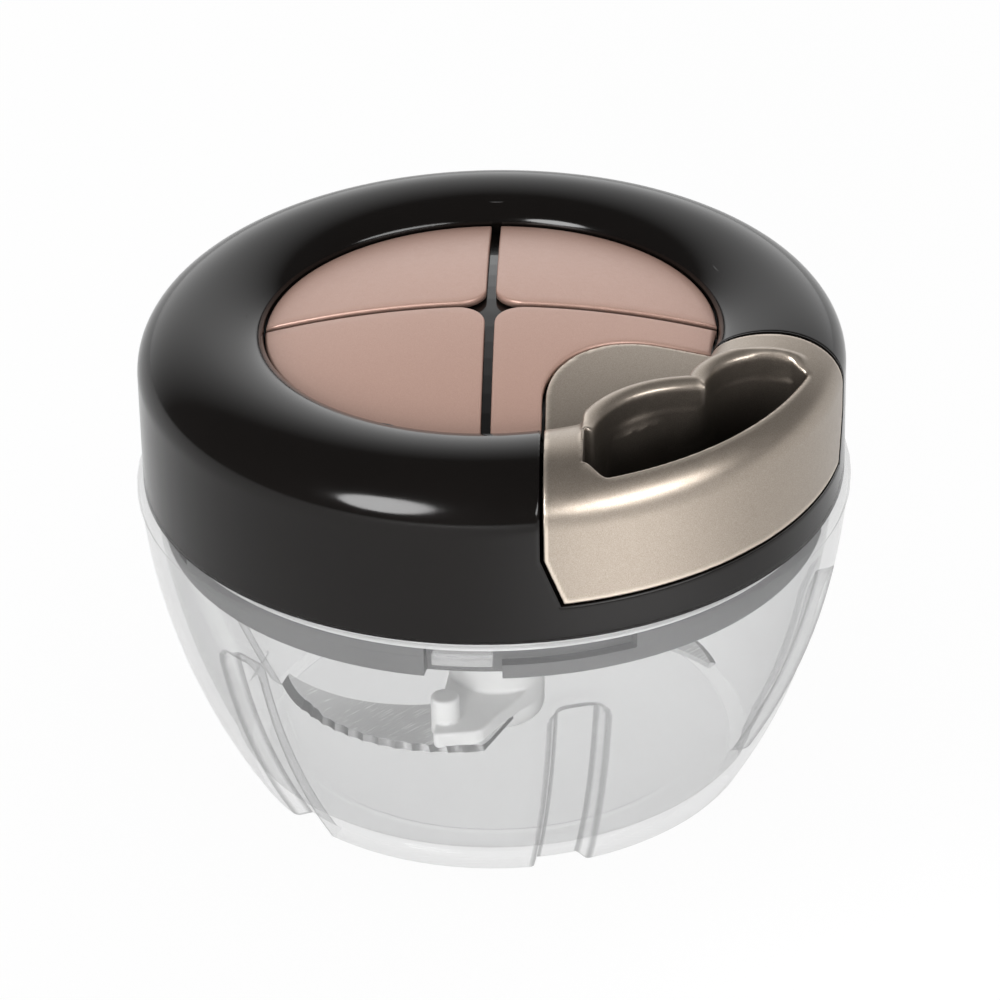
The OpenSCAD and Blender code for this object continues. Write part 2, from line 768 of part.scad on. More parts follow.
module cord_reel() {
    color("whitesmoke") difference() {
        union() {
            translate([0, 0, reel_z]) cylinder(r = flange_r, h = flange_t);
            translate([0, 0, reel_z]) cylinder(r = drum_r, h = cup_z - reel_z);
            translate([0, 0, cup_z - flange_t]) cylinder(r = flange_r, h = flange_t);
            tube(flange_r - flange_t, flange_r, cup_z - eps, cup_h);
        }
        translate([0, 0, reel_z - 1]) cylinder(r = shaft_r + run_fit, h = cup_z - reel_z + 2);
        at_pawls() rotate([0, 0, -pawl_reach]) translate([pawl_at, 0, reel_z - 1])
            cylinder(r = pawl_pin_r, h = flange_t + 1 + eps);
    }
}

module spring_cover() {
    color("gray") tube(arbor_r + 1, flange_r, cover_z, cover_t);
}

module cord_winding() {
    color("white") tube(drum_r, wound_r, drum_z + turn_gap, drum_h - 2 * turn_gap);
}

module pawl_pins() {
    color("silver") at_pawls() rotate([0, 0, -pawl_reach]) translate([pawl_at, 0, ratchet_z])
        cylinder(r = pawl_pin_r, h = reel_z - ratchet_z + flange_t);
}

// Pawl whose tip stands behind a steep tooth side, at angle 0
module pawl() {
    pivot = pawl_at * [cos(pawl_reach), -sin(pawl_reach)];
    root = ratchet_r - tooth_h;
    tip = [root + turn_gap, -pawl_play];
    eye_t = 1.5;
    eye_r = pawl_pin_r + eye_t;
    arm_half = 0.8 * eye_r;
    nose = 1.2;
    thick = ratchet_t - 2 * seat_gap;
    along = atan2(tip[1] - pivot[1], tip[0] - pivot[0]);
    side = [-sin(along), cos(along)];
    translate([0, 0, ratchet_z + seat_gap]) difference() {
        union() {
            translate(pivot) cylinder(r = eye_r, h = thick);
            linear_extrude(thick) polygon(
                [pivot + arm_half * side, tip, tip + [tooth_h + nose, 0], pivot - arm_half * side]);
        }
        translate([pivot[0], pivot[1], -1]) cylinder(r = pawl_pin_r + run_fit, h = ratchet_t + 2);
    }
}

module clutch_pawl_a() {
    color("orange") pawl();
}

module clutch_pawl_b() {
    color("orange") rotate([0, 0, 180]) pawl();
}

// Finger opening grown by d, from height z0 up: two lobes inside an edge that follows the lid,
// and a corner that runs out to the stub of the ring
module opening(d, z0) {
    translate([0, 0, z0]) {
        intersection() {
            cylinder(r = heart_r + d, h = far);
            union() {
                translate([lobe_x, -lobe_side, 0]) cylinder(r = lobe_r + d, h = far);
                translate([small_x, small_side, 0]) cylinder(r = small_r + d, h = far);
            }
        }
        rotate([0, 0, -45]) linear_extrude(far) polygon([
            [notch_at - d, stub_at - d], [notch_at + notch_len + d, stub_at - d],
            [notch_at + notch_len + notch_slant + d, stub_at + notch_w], [notch_at - d, stub_at + notch_w]]);
    }
}

// Block between the two stubs of the ring, d inside their faces, from height z0 up
module between_stubs(d, z0) {
    translate([0, 0, z0]) linear_extrude(far) polygon(quarter(stub_at + d, star_round));
}

// Bead round a lobe of radius r, with a round top
module bead(r) {
    z0 = panel_z - handle_t / 2;
    rotate_extrude() polygon(concat(
        [[r - bead_w / 2, z0], [r + bead_w, z0]],
        arc(r + bead_w / 2, bead_z, bead_w / 2, bead_w / 2, 0, 180, 8),
        [[r - bead_w / 2, bead_z]]));
}

// What stays behind the finger opening: the back wall, sloped where it meets the bead
module opening_back() {
    r = back_r + handle_t + run_fit;
    rotate_extrude() polygon([
        [0, handle_z - 2], [r, handle_z - 2], [r, panel_z - slope_h], [panel_r, panel_z + handle_t],
        [0, panel_z + handle_t]]);
}

// Outer shell of the handle with its tongue, solid between the stubs, and a wall round the opening
module handle_shell() {
    difference() {
        union() {
            difference() {
                intersection() {
                    lid_form(handle_z, 0);
                    handle_block(0, handle_z);
                }
                difference() {
                    intersection() {
                        ring_hollow(back_r + handle_t, handle_t, handle_z - 1);
                        handle_block(-handle_t, handle_z - 2);
                    }
                    between_stubs(-handle_t, panel_z - handle_t);
                }
            }
            intersection() {
                lid_form(handle_z, handle_t / 2);
                opening(heart_t, handle_z);
            }
        }
        under_dome(back_r, tongue_t);
        intersection() {
            tube(panel_r - pocket_lap, heart_r - handle_t, panel_z - pocket_lap, far);
            between_stubs(pocket_lap, lid_z);
        }
    }
}

module pull_handle() {
    color([0.62, 0.58, 0.53]) difference() {
        union() {
            difference() {
                union() {
                    handle_shell();
                    intersection() {
                        union() {
                            translate([lobe_x, -lobe_side, 0]) bead(lobe_r);
                            translate([small_x, small_side, 0]) bead(small_r);
                        }
                        between_stubs(-pocket_lap, lid_z);
                        cylinder(r = crest_r, h = far);
                    }
                }
                difference() {
                    opening(0, handle_z - 1);
                    opening_back();
                }
            }
            translate([boss_x, 0, cord_z]) rotate([0, 90, 0]) cylinder(r = 2 * knot_r, h = boss_len);
        }
        translate([back_r - 1, 0, cord_z]) rotate([0, 90, 0])
            cylinder(r = cord_r + turn_gap, h = boss_len + 1);
        translate([knot_x - knot_r, 0, cord_z]) rotate([0, 90, 0])
            cylinder(r = knot_r + run_fit, h = boss_len);
    }
}

module cord_knot() {
    color("white") translate([knot_x, 0, cord_z]) sphere(r = knot_r);
}

bowl();
pivot_pin();
blade_hub();
lower_blade();
upper_blade();
seal_ring();
lid_housing();
panel_front();
panel_left();
panel_back();
panel_right();
lid_base();
base_screws();
shaft_bush();
cord_eyelet();
mainspring();
pull_cord();
drive_shaft();
drive_dog();
shaft_clip();
ratchet_wheel();
cord_reel();
spring_cover();
cord_winding();
pawl_pins();
clutch_pawl_a();
clutch_pawl_b();
pull_handle();
cord_knot();
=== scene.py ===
# %% [markdown]
# # A pull-string food chopper
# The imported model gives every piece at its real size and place. This lesson dresses it: smooth skins
# where light plays on big curves, procedural finishes on every surface, a white studio, and a camera
# at the photograph's angle.

# %% Load the frame
import json
import math

import bmesh
import bpy
import numpy as np
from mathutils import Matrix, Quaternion, Vector


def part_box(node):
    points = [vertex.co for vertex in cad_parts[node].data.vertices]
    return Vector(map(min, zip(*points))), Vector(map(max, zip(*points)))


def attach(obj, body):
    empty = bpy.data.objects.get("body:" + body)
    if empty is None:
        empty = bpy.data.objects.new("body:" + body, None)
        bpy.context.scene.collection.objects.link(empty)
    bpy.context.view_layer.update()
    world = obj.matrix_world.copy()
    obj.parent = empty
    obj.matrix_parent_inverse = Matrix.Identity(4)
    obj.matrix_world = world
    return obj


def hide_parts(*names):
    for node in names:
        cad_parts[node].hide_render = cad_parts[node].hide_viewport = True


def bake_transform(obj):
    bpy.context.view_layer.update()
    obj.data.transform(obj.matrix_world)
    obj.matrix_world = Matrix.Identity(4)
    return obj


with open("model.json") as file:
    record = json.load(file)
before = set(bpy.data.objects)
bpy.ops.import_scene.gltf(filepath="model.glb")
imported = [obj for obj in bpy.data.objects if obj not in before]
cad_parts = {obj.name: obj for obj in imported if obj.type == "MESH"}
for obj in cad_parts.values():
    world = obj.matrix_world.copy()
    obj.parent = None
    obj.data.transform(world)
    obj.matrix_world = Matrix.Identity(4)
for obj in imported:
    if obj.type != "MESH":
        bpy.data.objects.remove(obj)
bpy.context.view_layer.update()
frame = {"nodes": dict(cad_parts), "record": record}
nodes = frame["nodes"]
MM = 0.001
print("pieces in the frame:", len(nodes))

# %% [markdown]
# ## Camera
# The view was solved from the round outlines of lid and bowl: a long lens, from a bit less than
# a metre away, thirty degrees up. A small shift puts the chopper where the picture has it, which
# keeps the perspective as it is, while turning the camera would change it.

# %% Camera at the photograph's angle
CAMERA_AZIMUTH = 47.0
CAMERA_ELEVATION = 30.28
CAMERA_ROLL = -1.21
CAMERA_DISTANCE = 0.900
LOOK_AT = Vector((0, 0, 45 * MM))
FOCAL_PIXELS = 5233.0
PICTURE_SIZE = 1000.0
AXIS_PIXEL = (494.71, 508.75)


def toward(azimuth, elevation):
    """Unit vector from the object to a viewer at these angles in degrees."""
    a, e = math.radians(azimuth), math.radians(elevation)
    return Vector((math.sin(a) * math.cos(e), -math.cos(a) * math.cos(e), math.sin(e)))


scene = bpy.context.scene
lens = bpy.data.cameras.new("camera")
camera = bpy.data.objects.new("camera", lens)
scene.collection.objects.link(camera)
scene.camera = camera
view_line = toward(CAMERA_AZIMUTH, CAMERA_ELEVATION)
camera.rotation_mode = "QUATERNION"
camera.location = LOOK_AT + CAMERA_DISTANCE * view_line
roll = Quaternion((0, 0, 1), math.radians(CAMERA_ROLL))
camera.rotation_quaternion = (-view_line).to_track_quat("-Z", "Y") @ roll
lens.sensor_width = 36
lens.lens = FOCAL_PIXELS / PICTURE_SIZE * lens.sensor_width
lens.shift_x = (PICTURE_SIZE / 2 - AXIS_PIXEL[0]) / PICTURE_SIZE
lens.shift_y = (AXIS_PIXEL[1] - PICTURE_SIZE / 2) / PICTURE_SIZE
lens.clip_start, lens.clip_end = 0.01, 50
print("camera lens in mm:", round(lens.lens, 1))

# %% [markdown]
# ## Studio
# White has to come out white, so the view transform is Standard; the film-like ones press white down to
# grey. A ray may pass many clear layers, because the bowl has several walls. The surfaces and the room
# are graphs of shader nodes, so the helpers that make and link nodes come first.

# %% Studio settings and node helpers
scene.view_settings.view_transform = "Standard"
scene.cycles.transparent_max_bounces = 24


def link_nodes(tree, *pairs):
    """Links each (output, input) pair."""
    for out, into in pairs:
        tree.links.new(out, into)


def node(tree, kind, **inputs):
    """A new shader node with some of its inputs set. Spaces in a name are written as _."""
    made = tree.nodes.new("ShaderNode" + kind)
    for name, value in inputs.items():
        made.inputs[name.replace("_", " ")].default_value = value
    return made


def maths(tree, operation):
    """A new node for one arithmetic step."""
    made = node(tree, "Math")
    made.operation = operation
    return made


def seen_directly(tree):
    """1 for rays from the camera, straight or through clear plastic, and 0 for all others."""
    path = node(tree, "LightPath")
    seen = maths(tree, "MAXIMUM")
    link_nodes(
        tree,
        (path.outputs["Is Camera Ray"], seen.inputs[0]),
        (path.outputs["Is Transmission Ray"], seen.inputs[1]),
    )
    return seen.outputs[0]


def mixed(tree, share, first, second):
    """A shader between two others, by a share from 0 to 1."""
    mix = node(tree, "MixShader")
    link_nodes(tree, (share, mix.inputs["Fac"]), (first, mix.inputs[1]), (second, mix.inputs[2]))
    return mix.outputs[0]


print("view transform:", scene.view_settings.view_transform)

# %% [markdown]
# ## Table
# The chopper stands on plain white. A diffuse white floor alone would come out grey wherever the light
# falls off, so rays that see the table directly find it glowing for the most part. The small diffuse
# share that is left keeps a soft shadow, and all other rays find a plain white table.

# %% White table
TABLE_SIZE = 12.0
TABLE_GLOW = 0.95


def make_table_finish():
    finish = bpy.data.materials.new("table_white")
    finish.use_nodes = True
    tree = finish.node_tree
    tree.nodes.clear()
    out = node(tree, "OutputMaterial")
    paint = node(tree, "BsdfDiffuse", Color=(0.95, 0.95, 0.95, 1))
    glow = node(tree, "Emission", Color=(1, 1, 1, 1), Strength=1)
    share = maths(tree, "MULTIPLY")
    share.inputs[1].default_value = TABLE_GLOW
    surface = mixed(tree, share.outputs[0], paint.outputs[0], glow.outputs[0])
    link_nodes(tree, (seen_directly(tree), share.inputs[0]), (surface, out.inputs["Surface"]))
    return finish


def make_table():
    mesh = bpy.data.meshes.new("table")
    half = TABLE_SIZE / 2
    corners = [(-half, -half, 0), (half, -half, 0), (half, half, 0), (-half, half, 0)]
    mesh.from_pydata(corners, [], [(0, 1, 2, 3)])
    table = bpy.data.objects.new("table", mesh)
    scene.collection.objects.link(table)
    mesh.materials.append(make_table_finish())


make_table()
print("table side in metres:", TABLE_SIZE)

# %% [markdown]
# ## Room
# An even pale room lights the chopper softly from all sides. Glossy black plastic would mirror such a
# room as a grey fog, so rays from a mirror find another one: dark, with a lit wall behind the chopper.
# That wall draws the grey sheen that runs round the lid's far rim and its sides.

# %% Room for light and room for mirrors
ROOM_LIGHT = 0.78
MIRROR_DARK, MIRROR_WALL, WALL_STARTS = 0.1, 1.6, 0.52


def make_room():
    world = bpy.data.worlds.new("room")
    scene.world = world
    world.use_nodes = True
    tree = world.node_tree
    tree.nodes.clear()
    out = node(tree, "OutputWorld")
    white = node(tree, "Background", Color=(1, 1, 1, 1), Strength=1)
    even = node(tree, "Background", Color=(1, 1, 1, 1), Strength=ROOM_LIGHT)
    mirrored = node(tree, "Background", Color=(1, 1, 1, 1))
    path = node(tree, "LightPath")
    place = node(tree, "TexCoord")
    behind = node(tree, "VectorMath")
    behind.operation = "DOT_PRODUCT"
    behind.inputs[1].default_value = toward(CAMERA_AZIMUTH + 180, 0)
    wall = node(tree, "MapRange", From_Min=WALL_STARTS, To_Min=MIRROR_DARK, To_Max=MIRROR_WALL)
    unseen = mixed(tree, path.outputs["Is Glossy Ray"], even.outputs[0], mirrored.outputs[0])
    room = mixed(tree, seen_directly(tree), unseen, white.outputs[0])
    link_nodes(
        tree,
        (place.outputs["Generated"], behind.inputs[0]),
        (behind.outputs["Value"], wall.inputs["Value"]),
        (wall.outputs["Result"], mirrored.inputs["Strength"]),
        (room, out.inputs["Surface"]),
    )


make_room()
print("room light:", ROOM_LIGHT)

# %% [markdown]
# ## Lamps
# Two soft boxes show in gloss only. One draws the highlight on the lid's shoulder and the band on the
# handle, the other the sheen at the right. They are round, because a square lamp leaves a window
# shape in black gloss. A low key lamp lights the front and the inside of the bowl and is in no mirror,
# and a spot makes a pool of light on the table for the handle's wall to pick up.

# %% Soft boxes, key and pool


def soft_box(name, azimuth, elevation, distance, width, height, watts, mirrored=True):
    """A round area lamp that faces the chopper from these angles. It shows in gloss only, or lights only."""
    lamp = bpy.data.lights.new(name, "AREA")
    lamp.shape = "ELLIPSE"
    lamp.size, lamp.size_y = width, height
    lamp.energy = watts
    box = bpy.data.objects.new(name, lamp)
    scene.collection.objects.link(box)
    box.visible_camera = False
    box.visible_diffuse = not mirrored
    box.visible_glossy = mirrored
    way = toward(azimuth, elevation)
    box.location = LOOK_AT + distance * way
    box.rotation_mode = "QUATERNION"
    box.rotation_quaternion = (-way).to_track_quat("-Z", "Y")


def floor_pool(name, azimuth, distance, height, watts, spread):
    """A soft pool of light on the table, for the handle's wall to mirror."""
    lamp = bpy.data.lights.new(name, "SPOT")
    lamp.energy = watts
    lamp.spot_size, lamp.spot_blend = math.radians(spread), 1
    lamp.shadow_soft_size = 0.05
    pool = bpy.data.objects.new(name, lamp)
    scene.collection.objects.link(pool)
    pool.visible_glossy = False
    pool.location = distance * toward(azimuth, 0) + Vector((0, 0, height))


soft_box("strip_box", azimuth=12, elevation=28, distance=1.5, width=0.72, height=0.75, watts=26)
soft_box("right_box", azimuth=91, elevation=22, distance=1.5, width=1.3, height=0.34, watts=13)
soft_box("key_box", azimuth=36, elevation=14, distance=1.4, width=0.7, height=0.5, watts=11, mirrored=False)
floor_pool("side_pool", azimuth=80, distance=0.19, height=0.5, watts=14, spread=26)
print("lamps:", len(bpy.data.lights))

# %% [markdown]
# ## Finishes
# Each finish is a short node tree round one Principled shader. A flat colour looks like a computer
# drawing, so noise at the right scale varies colour, gloss and relief a little. What is even all over
# sits on the shader's own sockets, where it is easy to read and to change.

# %% Finish helpers
NOISE_LOW, NOISE_HIGH = 0.3, 0.7
FINISHES = {}


def new_finish(name, colour, roughness, metallic=0.0):
    """A material with one Principled shader, kept in the list. Gives its tree and shader to build on."""
    finish = bpy.data.materials.new(name)
    finish.use_nodes = True
    tree = finish.node_tree
    shader = tree.nodes["Principled BSDF"]
    shader.inputs["Base Color"].default_value = (*colour, 1)
    shader.inputs["Roughness"].default_value = roughness
    shader.inputs["Metallic"].default_value = metallic
    finish.diffuse_color = (*colour, 1)
    FINISHES[name] = finish
    return tree, shader


def noise(tree, per_metre, detail=2.0, stretch=(1, 1, 1)):
    """Noise fixed to the object, with about this many waves in a metre."""
    place = node(tree, "TexCoord")
    turn = node(tree, "Mapping", Scale=stretch)
    grain = node(tree, "TexNoise", Scale=per_metre, Detail=detail)
    link_nodes(
        tree,
        (place.outputs["Object"], turn.inputs["Vector"]),
        (turn.outputs["Vector"], grain.inputs["Vector"]),
    )
    return grain.outputs["Fac"]


def vary_colour(tree, shader, value, dark, light):
    """Base colour runs from dark to light with a value from 0 to 1."""
    ramp = node(tree, "ValToRGB")
    low, high = ramp.color_ramp.elements
    low.position, high.position = NOISE_LOW, NOISE_HIGH
    low.color, high.color = (*dark, 1), (*light, 1)
    link_nodes(tree, (value, ramp.inputs["Fac"]), (ramp.outputs["Color"], shader.inputs["Base Color"]))


def vary_roughness(tree, shader, value, smooth, rough):
    """Roughness runs from smooth to rough with a value from 0 to 1."""
    spread = node(
        tree, "MapRange", From_Min=NOISE_LOW, From_Max=NOISE_HIGH, To_Min=smooth, To_Max=rough)
    link_nodes(
        tree, (value, spread.inputs["Value"]), (spread.outputs["Result"], shader.inputs["Roughness"]))


def raise_surface(tree, shader, value, strength, depth):
    """Bump of this depth in metres from a value."""
    bump = node(tree, "Bump", Strength=strength, Distance=depth)
    link_nodes(tree, (value, bump.inputs["Height"]), (bump.outputs["Normal"], shader.inputs["Normal"]))


def shade(rgb, share):
    """A colour made darker or lighter by a share."""
    return tuple(min(1.0, c * share) for c in rgb)


print("noise between these values is spread over the whole range:", NOISE_LOW, NOISE_HIGH)

# %% [markdown]
# ## Moulded plastic
# The lid, its grey floor, the hub, the reel and the seal come from moulds, which leave faint orange peel
# and slightly uneven gloss. Noise at three scales gives both without any picture. The lid is polished
# black: its own colour is almost nothing, and what shows is what it mirrors.

# %% Moulded finishes


def moulded(name, colour, smooth, rough, specular=0.5):
    """Injection-moulded plastic with faint orange peel and uneven gloss."""
    tree, shader = new_finish(name, colour, smooth)
    shader.inputs["Specular IOR Level"].default_value = specular
    patches = noise(tree, per_metre=60, detail=3)
    vary_colour(tree, shader, patches, shade(colour, 0.92), shade(colour, 1.06))
    vary_roughness(tree, shader, noise(tree, per_metre=140, detail=4), smooth, rough)
    raise_surface(tree, shader, noise(tree, per_metre=700), strength=0.25, depth=0.00001)


moulded("black_lid", (0.006, 0.005, 0.0045), 0.1, 0.15, specular=0.25)
moulded("grey_base", (0.13, 0.13, 0.13), 0.35, 0.5)
moulded("white_plastic", (0.87, 0.87, 0.865), 0.3, 0.42)
moulded("reel_plastic", (0.72, 0.71, 0.67), 0.35, 0.5)
moulded("seal_rubber", (0.72, 0.72, 0.72), 0.45, 0.6)
print("moulded finishes:", len(FINISHES))

# %% [markdown]
# ## Metallic paint
# The panels and the handle are plastic under metallic paint: small bright flakes that lie at slightly
# different angles. Fine noise in colour and relief gives the flakes. On the handle, paint lightened on its
# edges is a painted highlight that also stands for wear, and paint darkened down its opening is painted
# shade. Both are read from values that the mesh carries, which follow the form better than any texture laid
# over it.

# %% Painted finishes
# Brightness of the painted highlight, partly wear, on the handle's outer edges.
HIGHLIGHT_AND_WEAR_BRIGHT = 1.5


def tint_by(tree, shader, attribute, none=None, full=None):
    """Mixes a colour into the paint by a mesh attribute: none where it is 0, or full where it is 1."""
    reach = node(tree, "Attribute")
    reach.attribute_name = attribute
    mix = node(tree, "MixRGB")
    mix.inputs["Color1" if none else "Color2"].default_value = (*(none or full), 1)
    paint = shader.inputs["Base Color"].links[0].from_socket
    link_nodes(
        tree,
        (reach.outputs["Fac"], mix.inputs["Fac"]),
        (paint, mix.inputs["Color2" if none else "Color1"]),
        (mix.outputs["Color"], shader.inputs["Base Color"]),
    )


def metallic_paint(name, colour, flake_colour, metallic, smooth, rough, shade_colour=None):
    """Paint with small bright flakes. Given a dark colour, its edges are lightened, a painted highlight
    that also stands for wear, and its opening is darkened towards that colour with depth: painted shade."""
    tree, shader = new_finish(name, colour, smooth, metallic)
    flakes = noise(tree, per_metre=6500)
    vary_colour(tree, shader, flakes, colour, flake_colour)
    if shade_colour:
        # Painted highlight on outer edges, partly wear.
        tint_by(tree, shader, "wear_and_highlight", full=shade(flake_colour, HIGHLIGHT_AND_WEAR_BRIGHT))
        # Painted shade down the finger opening.
        tint_by(tree, shader, "opening_shade", none=shade_colour)
    vary_roughness(tree, shader, noise(tree, per_metre=900, detail=3), smooth, rough)
    raise_surface(tree, shader, flakes, strength=0.35, depth=0.000012)


metallic_paint(
    "rose_panel", (0.5, 0.312, 0.25), (0.565, 0.364, 0.297), metallic=0.25, smooth=0.36, rough=0.44)
# The handle's dark colour is the painted shade down its finger opening.
metallic_paint(
    "nickel_handle", (0.3, 0.252, 0.206), (0.42, 0.364, 0.308), metallic=0.8, smooth=0.3, rough=0.36,
    shade_colour=(0.015, 0.012, 0.01))
print("with paints:", len(FINISHES))

# %% [markdown]
# ## Metals
# Blades, shaft, screws and spring are ground or rolled, which leaves long thin lines in one direction.
# An anisotropic shader only smears the gloss that way, while stretched noise shows the lines themselves.
# The blades are brushed pale, so they are only partly a mirror.

# %% Metal finishes
ALONG_Y, ALONG_Z, ALONG_XY = (1, 0.05, 1), (1, 1, 0.1), (0.1, 0.1, 1)


def ground_metal(name, colour, smooth, rough, stretch, relief=0.05, metallic=1.0):
    """Metal ground along one direction: long thin lines in gloss and relief."""
    tree, shader = new_finish(name, colour, smooth, metallic)
    lines = noise(tree, per_metre=4200, stretch=stretch)
    vary_colour(tree, shader, lines, shade(colour, 0.97), shade(colour, 1.03))
    vary_roughness(tree, shader, lines, smooth, rough)
    raise_surface(tree, shader, lines, relief, depth=0.000002)


ground_metal(
    "blade_steel", (0.85, 0.85, 0.85), 0.24, 0.28, ALONG_Y, relief=0.006, metallic=0.35)
ground_metal("steel", (0.58, 0.58, 0.57), 0.2, 0.34, ALONG_Z)
ground_metal("spring_steel", (0.25, 0.27, 0.31), 0.25, 0.4, ALONG_XY)
ground_metal("bronze", (0.62, 0.42, 0.2), 0.3, 0.45, ALONG_Z)
print("with metals:", len(FINISHES))

# %% [markdown]
# ## Clear plastic
# The bowl is clear. Refraction would bend the view through its four skins and take many more samples, so
# the wall is drawn as a thin grey film with a gloss on it. The film is denser where the wall is seen
# edge on. On the near side, where a value in the mesh marks a sharp turn such as a flute's edge, it is also
# denser and darker grey: painted shade for the dark lines that refraction would draw there.

# %% Clear finish
FILM_GREY = (0.33, 0.333, 0.336)
# The third value thickens the film where it carries painted shade at sharp turns on the near side.
FILM_FACING, FILM_EDGE_ON, FILM_SHADE_AT_TURNS, FILM_PLAIN = 0.105, 0.28, 0.42, 0.14


def clear_plastic(name, film_grey, facing, at_edge):
    """A thin film, denser edge on. Where the mesh attribute edge marks a sharp turn on the near side,
    it is denser and darker grey: painted shade.
    """
    tree, shader = new_finish(name, film_grey, 0.05)
    shader.inputs["Alpha"].default_value = FILM_PLAIN
    edge_on = node(tree, "LayerWeight", Blend=0.35)
    film = node(tree, "MapRange", To_Min=facing, To_Max=at_edge)
    # Painted shade: where the attribute edge marks a sharp turn on the near side, the film gets denser and
    # its grey darkens by half.
    turn = node(tree, "Attribute")
    turn.attribute_name = "edge"
    side = node(tree, "NewGeometry")
    front, near = maths(tree, "LESS_THAN"), maths(tree, "MULTIPLY")
    thick = maths(tree, "MULTIPLY_ADD")
    thick.inputs[1].default_value = FILM_SHADE_AT_TURNS
    shaded_grey = node(tree, "MixRGB", Color1=(*film_grey, 1), Color2=(*shade(film_grey, 0.5), 1))
    link_nodes(
        tree,
        (edge_on.outputs["Facing"], film.inputs["Value"]),
        (side.outputs["Backfacing"], front.inputs[0]),
        (turn.outputs["Fac"], near.inputs[0]),
        (front.outputs[0], near.inputs[1]),
        (near.outputs[0], thick.inputs[0]),
        (film.outputs["Result"], thick.inputs[2]),
        (thick.outputs[0], shader.inputs["Alpha"]),
        (near.outputs[0], shaded_grey.inputs["Fac"]),
        (shaded_grey.outputs["Color"], shader.inputs["Base Color"]),
    )
    raise_surface(tree, shader, noise(tree, per_metre=45), strength=0.05, depth=0.0002)


clear_plastic("clear_bowl", FILM_GREY, FILM_FACING, FILM_EDGE_ON)
print("with the clear one:", len(FINISHES))

# %% [markdown]
# ## Cord, and dressing the pieces
# The cord is a pale braid. A wave texture with some distortion reads as crossing strands at this size.
# With the last finish made, every piece of the frame gets the one that the record names for it.

# %% Braid and assignment


def braided_cord():
    """Pale braid: waves across the cord in colour and relief."""
    tree, shader = new_finish("cord", (0.5, 0.49, 0.46), 0.75)
    place = node(tree, "TexCoord")
    wave = node(tree, "TexWave", Scale=900, Distortion=1.5)
    link_nodes(tree, (place.outputs["Object"], wave.inputs["Vector"]))
    vary_colour(tree, shader, wave.outputs["Fac"], (0.36, 0.35, 0.32), (0.6, 0.59, 0.56))
    raise_surface(tree, shader, wave.outputs["Fac"], strength=0.5, depth=0.0001)


braided_cord()
slot_of = {row["node"]: row["material_slot"] for row in frame["record"]["subparts"]}
for name, part in nodes.items():
    part.data.materials.clear()
    part.data.materials.append(FINISHES[slot_of[name]])
print("finishes:", len(FINISHES))

# %% [markdown]
# ## Helpers for skins
# Most pieces here are skins: a grid of points that follows a curve in one direction and turns or
# slides in the other. Solidify then gives them their wall. A grid keeps quads in flow with the
# form, which is what glossy plastic needs to reflect without ripples.

# %% Grid helpers


def smooth_step(low, high, x):
    """0 below low, 1 above high, with soft ends."""
    t = np.clip((np.asarray(x, float) - low) / (high - low), 0, 1)
    return t * t * (3 - 2 * t)


def add_grid(bm, rows, wrap=False, flip=False):
    """Adds a grid of points in mm to a bmesh; wrap joins the last column to the first."""
    made = [[bm.verts.new(Vector(p) * MM) for p in row] for row in rows]
    for upper, lower in zip(made, made[1:]):
        n = len(upper)
        for i in range(n if wrap else n - 1):
            k = (i + 1) % n
            corners = [upper[i], upper[k], lower[k], lower[i]]
            if flip:
                corners.reverse()
            bm.faces.new(corners)
    return made


def add_piece(mesh, name, body, slot, replaces=(), wall=0.0):
    """A mesh as a piece that rides on a body and stands for CAD nodes."""
    piece = bpy.data.objects.new(name, mesh)
    scene.collection.objects.link(piece)
    mesh.materials.append(FINISHES[slot])
    if wall:
        thick = piece.modifiers.new("wall", "SOLIDIFY")
        thick.thickness = wall * MM
        thick.offset = -1
    if body:
        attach(piece, body)
    if replaces:
        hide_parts(*replaces)
    print(name, len(mesh.polygons), "faces")
    return piece


def finish_piece(bm, name, body, slot, sharp, replaces=(), wall=0.0):
    """Closes a bmesh and adds it as a piece, with edges sharper than this angle left sharp."""
    bmesh.ops.remove_doubles(bm, verts=bm.verts, dist=1e-6)
    bmesh.ops.recalc_face_normals(bm, faces=bm.faces)
    mesh = bpy.data.meshes.new(name)
    bm.to_mesh(mesh)
    bm.free()
    mesh.shade_smooth()
    mesh.set_sharp_from_angle(angle=math.radians(sharp))
    return add_piece(mesh, name, body, slot, replaces, wall)


def arc(cx, cz, rx, rz, a0, a1, n):
    """Points of an ellipse's arc, angles in degrees."""
    turn = np.radians(np.linspace(a0, a1, n + 1))
    return [(cx + rx * math.cos(a), cz + rz * math.sin(a)) for a in turn]


def around(r, a, z):
    """The point at a radius, an angle and a height."""
    return (r * math.cos(a), r * math.sin(a), z)


print("smooth step a quarter of the way:", float(smooth_step(0, 1, 0.25)))

# %% [markdown]
# ## Bowl
# One closed skin makes the bowl: under the floor, round the foot, up the outside, over the rim and
# down the inside. Six flutes are pressed into it. A boolean cut often leaves ragged shading, so the
# flutes are part of the grid: its columns keep a fixed distance from each flute's middle, and their
# straight sides stay clean.

